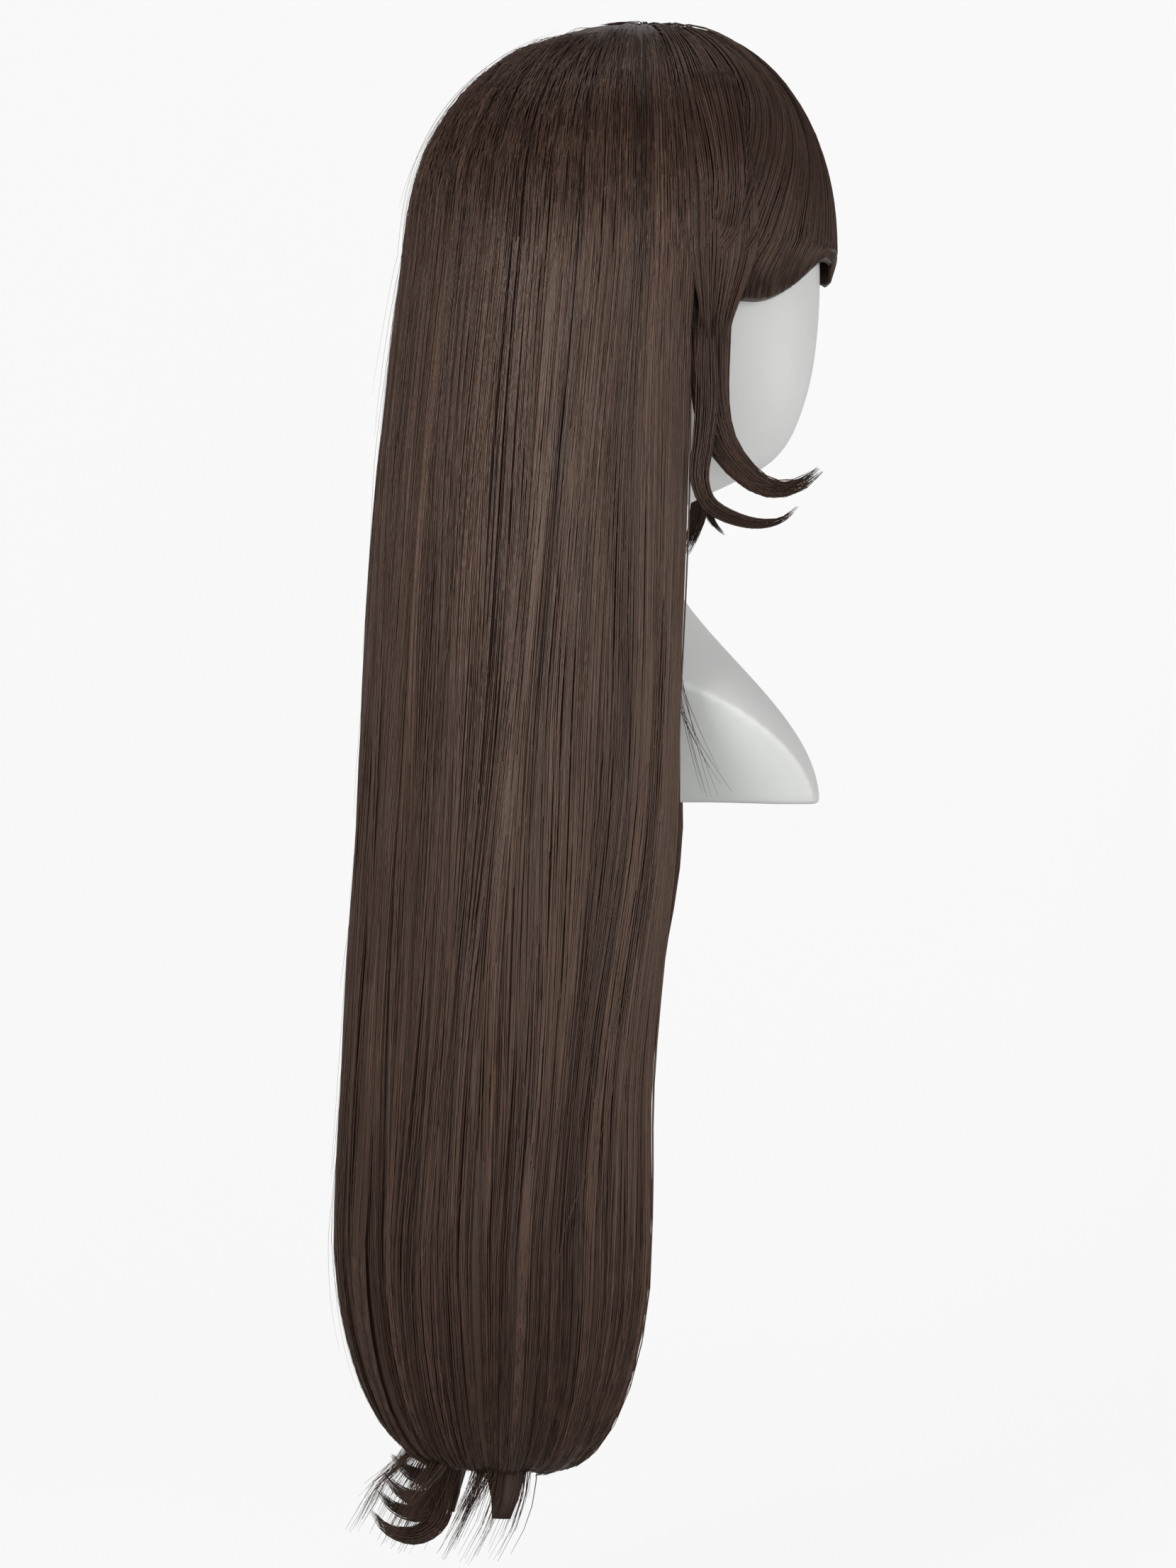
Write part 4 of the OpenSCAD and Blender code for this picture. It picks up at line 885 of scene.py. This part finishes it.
def bundle(name, nodes, centre, wide, thick, tip, seed, count, steps=26, tone=0.42, start_thin=0.6):
    rng = np.random.default_rng(seed)
    line = resample(centre, steps)
    ahead = np.gradient(line, axis=0)
    ahead /= np.linalg.norm(ahead, axis=1, keepdims=True)
    out = np.cross(ahead, np.stack([np.zeros(steps), ahead[:, 2], -ahead[:, 1]], axis=1))
    out /= np.linalg.norm(out, axis=1, keepdims=True)
    out *= np.sign((out * np.sign(line[:, :1]) * [1, 0, 0]).sum(1, keepdims=True) + 1e-9)
    across = np.cross(out, ahead)
    s = np.linspace(0, 1, steps)
    size = lerp(1, tip, s**2.2) * lerp(start_thin, 1, np.clip(s * 4, 0, 1))
    angle, radius = rng.uniform(0, 360, count), rng.uniform(0, 1, count) ** 0.5
    reach = rng.uniform(0.82, 1.0, count)
    wave = 0.06 * np.sin(s[None] * rng.uniform(3, 8, (count, 1)) + rng.uniform(0, 6, (count, 1)))
    paths = np.zeros((count, steps, 3))
    for k in range(count):
        at = s * reach[k]
        mid = np.stack([np.interp(at, s, line[:, j]) for j in range(3)], axis=1)
        wv = np.stack([np.interp(at, s, across[:, j]) for j in range(3)], axis=1)
        ov = np.stack([np.interp(at, s, out[:, j]) for j in range(3)], axis=1)
        sz = np.interp(at, s, size)[:, None]
        paths[k] = (mid + wv * (wide / 2 * sz * (cosd(angle[k]) * radius[k] + wave[k][:, None]))
                    + ov * (thick / 2 * sz * sind(angle[k]) * radius[k]))
    widths = rng.uniform(0.8, 1.3, count)[:, None] * taper(steps, 0.08, 0.4)[None]
    tones = np.clip(rng.normal(tone, 0.15, count), 0, 1)
    return hair_piece(name, nodes, [(paths, widths)], [tones])


for side, label in ((1, "right"), (-1, "left")):
    upper = flip_path if side > 0 else fall_path
    lower = lower_flip_path if side > 0 else lower_fall_path
    root = over_skull(np.full(3, side * ROOT_TURN), np.array([48, 66, 82]), np.array([0.9, 0.98, 1.02]))
    bundle(f"upper_lock_{label}", [f"side_lock_upper_{label}"],
           np.concatenate([root, lock_points(side, upper, LOCK_GAP, LOCK_T)]), LOCK_W * 1.15, LOCK_T,
           0.16, 500 + side, count=LOCK_COUNT, start_thin=1.25)
    # painted shade: the lower lock, under the upper one, gets the darker tone 0.3
    bundle(f"lower_lock_{label}", [f"side_lock_lower_{label}"],
           lock_points(side, lower, LOCK_GAP + LOCK_T - 1.2, 5), 13, 5,
           0.13, 510 + side, count=90, tone=0.3)
print("four side locks")

# %% [markdown]
# The crown's whorl closes the point where all strands start, and two pairs of flicks leave the
# tail backwards.
# %% Whorl and flicks
def whorl():
    rng = np.random.default_rng(600)
    count, steps = 110, 9
    turn0 = rng.uniform(-180, 180, count)
    polar = np.linspace(0.4, 8.5, steps)[None] * rng.uniform(0.8, 1.1, (count, 1))
    turn = turn0[:, None] + 25 * (1 - polar / 9)
    paths = over_skull(turn, polar, 1.0 - 0.02 * rng.random((count, 1)) + 0 * polar)
    widths = rng.uniform(0.7, 1.1, count)[:, None] * taper(steps, 0.3, 0.3)[None]
    t, p = np.meshgrid(np.linspace(-180, 180, 25), np.array([0.3, 3, 6.5]))
    core = (over_skull(t, p, 0.93 + 0 * t), over_skull(t, p, 0.05 + 0 * t))
    tones = rng.uniform(0.2, 0.5, count)
    return hair_piece("whorl_strands", ["crown_whorl"], [(paths, widths)], [tones], core)


FLICK_TURN, FLICK_W, FLICK_T = 24, 15, 7
upper_flick = np.array([(0, 0, 0), (-1, 7, -7), (-3, 17, -8), (-5, 27, -3), (-7, 35, 6)])
lower_flick = np.array([(0, 0, 0), (-1, 8, -9), (-3, 19, -12), (-5, 31, -8), (-7, 40, 2)])


def flicks(name, node, z, path, seed):
    start = tail_at(np.array([FLICK_TURN]), np.array([float(z)]), np.array([0.485]))[0]
    parts = []
    for side in (1, -1):
        x = -start[0] + path[:, 0]
        parts.append(np.stack([-side * x, start[1] + path[:, 1] + FLICK_T * 0.3, z + path[:, 2]],
                              axis=1))
    for side, centre in zip(("right", "left"), parts):
        lead = centre[0] + np.array([0, -4, 34])
        bundle(f"{name}_{side}", [node] if side == "right" else [], np.concatenate([[lead], centre]),
               FLICK_W, FLICK_T, 0.15, seed + len(side), count=70, steps=18, tone=0.45)


whorl()
flicks("upper_flick", "flicked_ends_outer", ENDS_Z - CURL_H - 17, upper_flick, 610)
flicks("lower_flick", "flicked_ends_under", ENDS_Z - CURL_H - 34, lower_flick, 620)
print("whorl and flicks")

# %% [markdown]
# Loose fibres lie over the smooth ones and stand off the outline. They are thin and each wanders
# on its own. They are painted pale all along, as a painted highlight for the light that catches them.
# %% Loose fibres
def loose_fibres(count=420, steps=22):
    rng = np.random.default_rng(700)
    turn0 = rng.uniform(-EDGE_TURN, EDGE_TURN, count)
    first = rng.uniform(30, 620, count)
    run = first[:, None] + rng.uniform(60, 320, count)[:, None] * np.linspace(0, 1, steps)
    run = np.minimum(run, TOP_RUN + HANG_RUN + CURL_RUN * 0.9)
    bend = rng.normal(0, 6, (count, 1)) * np.linspace(0, 1, steps) ** 2
    bend = bend + rng.normal(0, 1.2, (count, 1)) * np.sin(run / 30)
    away = np.abs(rng.normal(0, 0.12, (count, 1))) * np.linspace(0.1, 1, steps)
    stand = np.clip(1.03 + away, 1, 1.4)
    paths = along_outer(np.clip(turn0[:, None] + bend, -EDGE_TURN, EDGE_TURN), run, stand)
    widths = rng.uniform(0.25, 0.4, count)[:, None] * taper(steps, 0.2, 0.5, 0.4)[None]
    # painted highlight: every loose fibre gets a pale tone, from 0.7 to 1, along its whole length
    return hair_piece("loose_fibres", [], [(paths, widths)], [rng.uniform(0.7, 1, count)])


def fibres_over_bust(count=9, steps=16):
    rng = np.random.default_rng(710)
    s = np.linspace(0, 1, steps)
    paths = np.zeros((count, steps, 3))
    for k in range(count):
        f = lerp(50, rng.uniform(66, 84), s**1.4)
        z = lerp(rng.uniform(70, 112), rng.uniform(8, 30), s)
        paths[k] = np.stack([np.full(steps, -76.0) + 10 * s, -f, z], axis=1)
    widths = np.full((count, 1), 0.35) * taper(steps, 0.2, 0.5, 0.4)[None]
    return hair_piece("fibres_over_bust", [], [(paths, widths)], [np.full(count, 0.3)])


loose_fibres()
fibres_over_bust()

# %% [markdown]
# Inside lies the cap: net panels, elastic bands and sewn tracks. Each piece is a copy of its solid,
# cut finer, with a woven finish. It keeps the solid's own shape: the cloth isn't modelled.
# %% Cap, bands and tracks
def woven(name, dark, pale, threads, rough):
    material, shader = new_material(name)
    place = add_node(material, "ShaderNodeTexCoord").outputs["Object"]
    level, upright = (
        add_node(material, "ShaderNodeTexWave", {"Scale": threads, "Distortion": 0.4},
                 {"Vector": place}, bands_direction=way).outputs["Fac"] for way in ("Z", "X"))
    crossed = add_node(material, "ShaderNodeMath", links={0: level, 1: upright}, operation="MULTIPLY")
    colour = tone_ramp(material, crossed.outputs[0], [(0.1, dark), (0.6, pale)])
    join(material, colour, shader.inputs["Base Color"])
    shader.inputs["Roughness"].default_value = rough
    bump = add_node(material, "ShaderNodeBump", {"Strength": 0.5, "Distance": 0.0004},
                    {"Height": crossed.outputs[0]})
    join(material, bump.outputs["Normal"], shader.inputs["Normal"])
    return material


def sewn_piece(node, material):
    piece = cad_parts[node].copy()
    piece.data = piece.data.copy()
    piece.name = piece.data.name = f"sewn_{node}"
    piece.parent = None
    for key in list(piece.keys()):
        del piece[key]
    bpy.context.scene.collection.objects.link(piece)
    form = bmesh.new()
    form.from_mesh(piece.data)
    bmesh.ops.remove_doubles(form, verts=form.verts, dist=1e-6)
    bmesh.ops.subdivide_edges(form, edges=form.edges, cuts=2, use_grid_fill=True)
    form.to_mesh(piece.data)
    form.free()
    piece.data.materials.clear()
    piece.data.materials.append(material)
    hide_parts(node)
    return piece


net_cloth = woven("cap_net_cloth", (0.010, 0.007, 0.006), (0.055, 0.038, 0.030), 420, 0.85)
elastic_cloth = woven("cap_elastic_cloth", (0.008, 0.006, 0.005), (0.035, 0.027, 0.023), 300, 0.75)
track_cloth = woven("track_threads", (0.012, 0.007, 0.005), (0.060, 0.036, 0.026), 200, 0.6)
for node in ("parting_patch", "cap_crown_net", "cap_side_panel_right", "cap_side_panel_left",
             "cap_back_panel"):
    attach(sewn_piece(node, net_cloth), "wig")
for node in ("cap_front_band", "nape_band", "ear_tab_right", "ear_tab_left", "adjuster_loops"):
    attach(sewn_piece(node, elastic_cloth), "wig")
for node in ("crown_wefts", "back_wefts", "side_wefts_right", "side_wefts_left"):
    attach(sewn_piece(node, track_cloth), "wig")

# %% [markdown]
# The straps stretch between the wig and the hooks that pull them. Each keeps its solid's shape, with
# the elastic finish, and its place is baked into its mesh.
# %% Straps
for side, label in ((-1, "right"), (1, "left")):
    strap = sewn_piece(f"adjuster_strap_{label}", elastic_cloth)
    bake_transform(strap)

# %% [markdown]
# Hardware keeps its own solids, with a brushed steel and a matt plastic.
# %% Steel and plastic
def hard_finish(name, dark, pale, metal, low, high, scale):
    material, shader = new_material(name)
    place = add_node(material, "ShaderNodeTexCoord").outputs["Object"]
    grain = add_node(material, "ShaderNodeTexNoise", {"Scale": scale, "Detail": 4}, {"Vector": place})
    colour = tone_ramp(material, grain.outputs["Fac"], [(0.3, dark), (0.7, pale)])
    join(material, colour, shader.inputs["Base Color"])
    rough = add_node(material, "ShaderNodeMapRange", {"To Min": low, "To Max": high},
                     {"Value": grain.outputs["Fac"]})
    join(material, rough.outputs["Result"], shader.inputs["Roughness"])
    shader.inputs["Metallic"].default_value = metal
    return material


steel = hard_finish("brushed_steel", (0.45, 0.46, 0.48), (0.62, 0.62, 0.64), 1.0, 0.22, 0.4, 700)
plastic = hard_finish("matt_plastic", (0.58, 0.58, 0.56), (0.66, 0.66, 0.64), 0.0, 0.45, 0.6, 400)
for node, finish in (("socket_sleeve", plastic), ("socket_screws", steel),
                     ("adjuster_hook_right", steel), ("adjuster_hook_left", steel)):
    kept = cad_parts[node]
    kept.data.materials.clear()
    kept.data.materials.append(finish)
print("cap, straps and hardware finished")
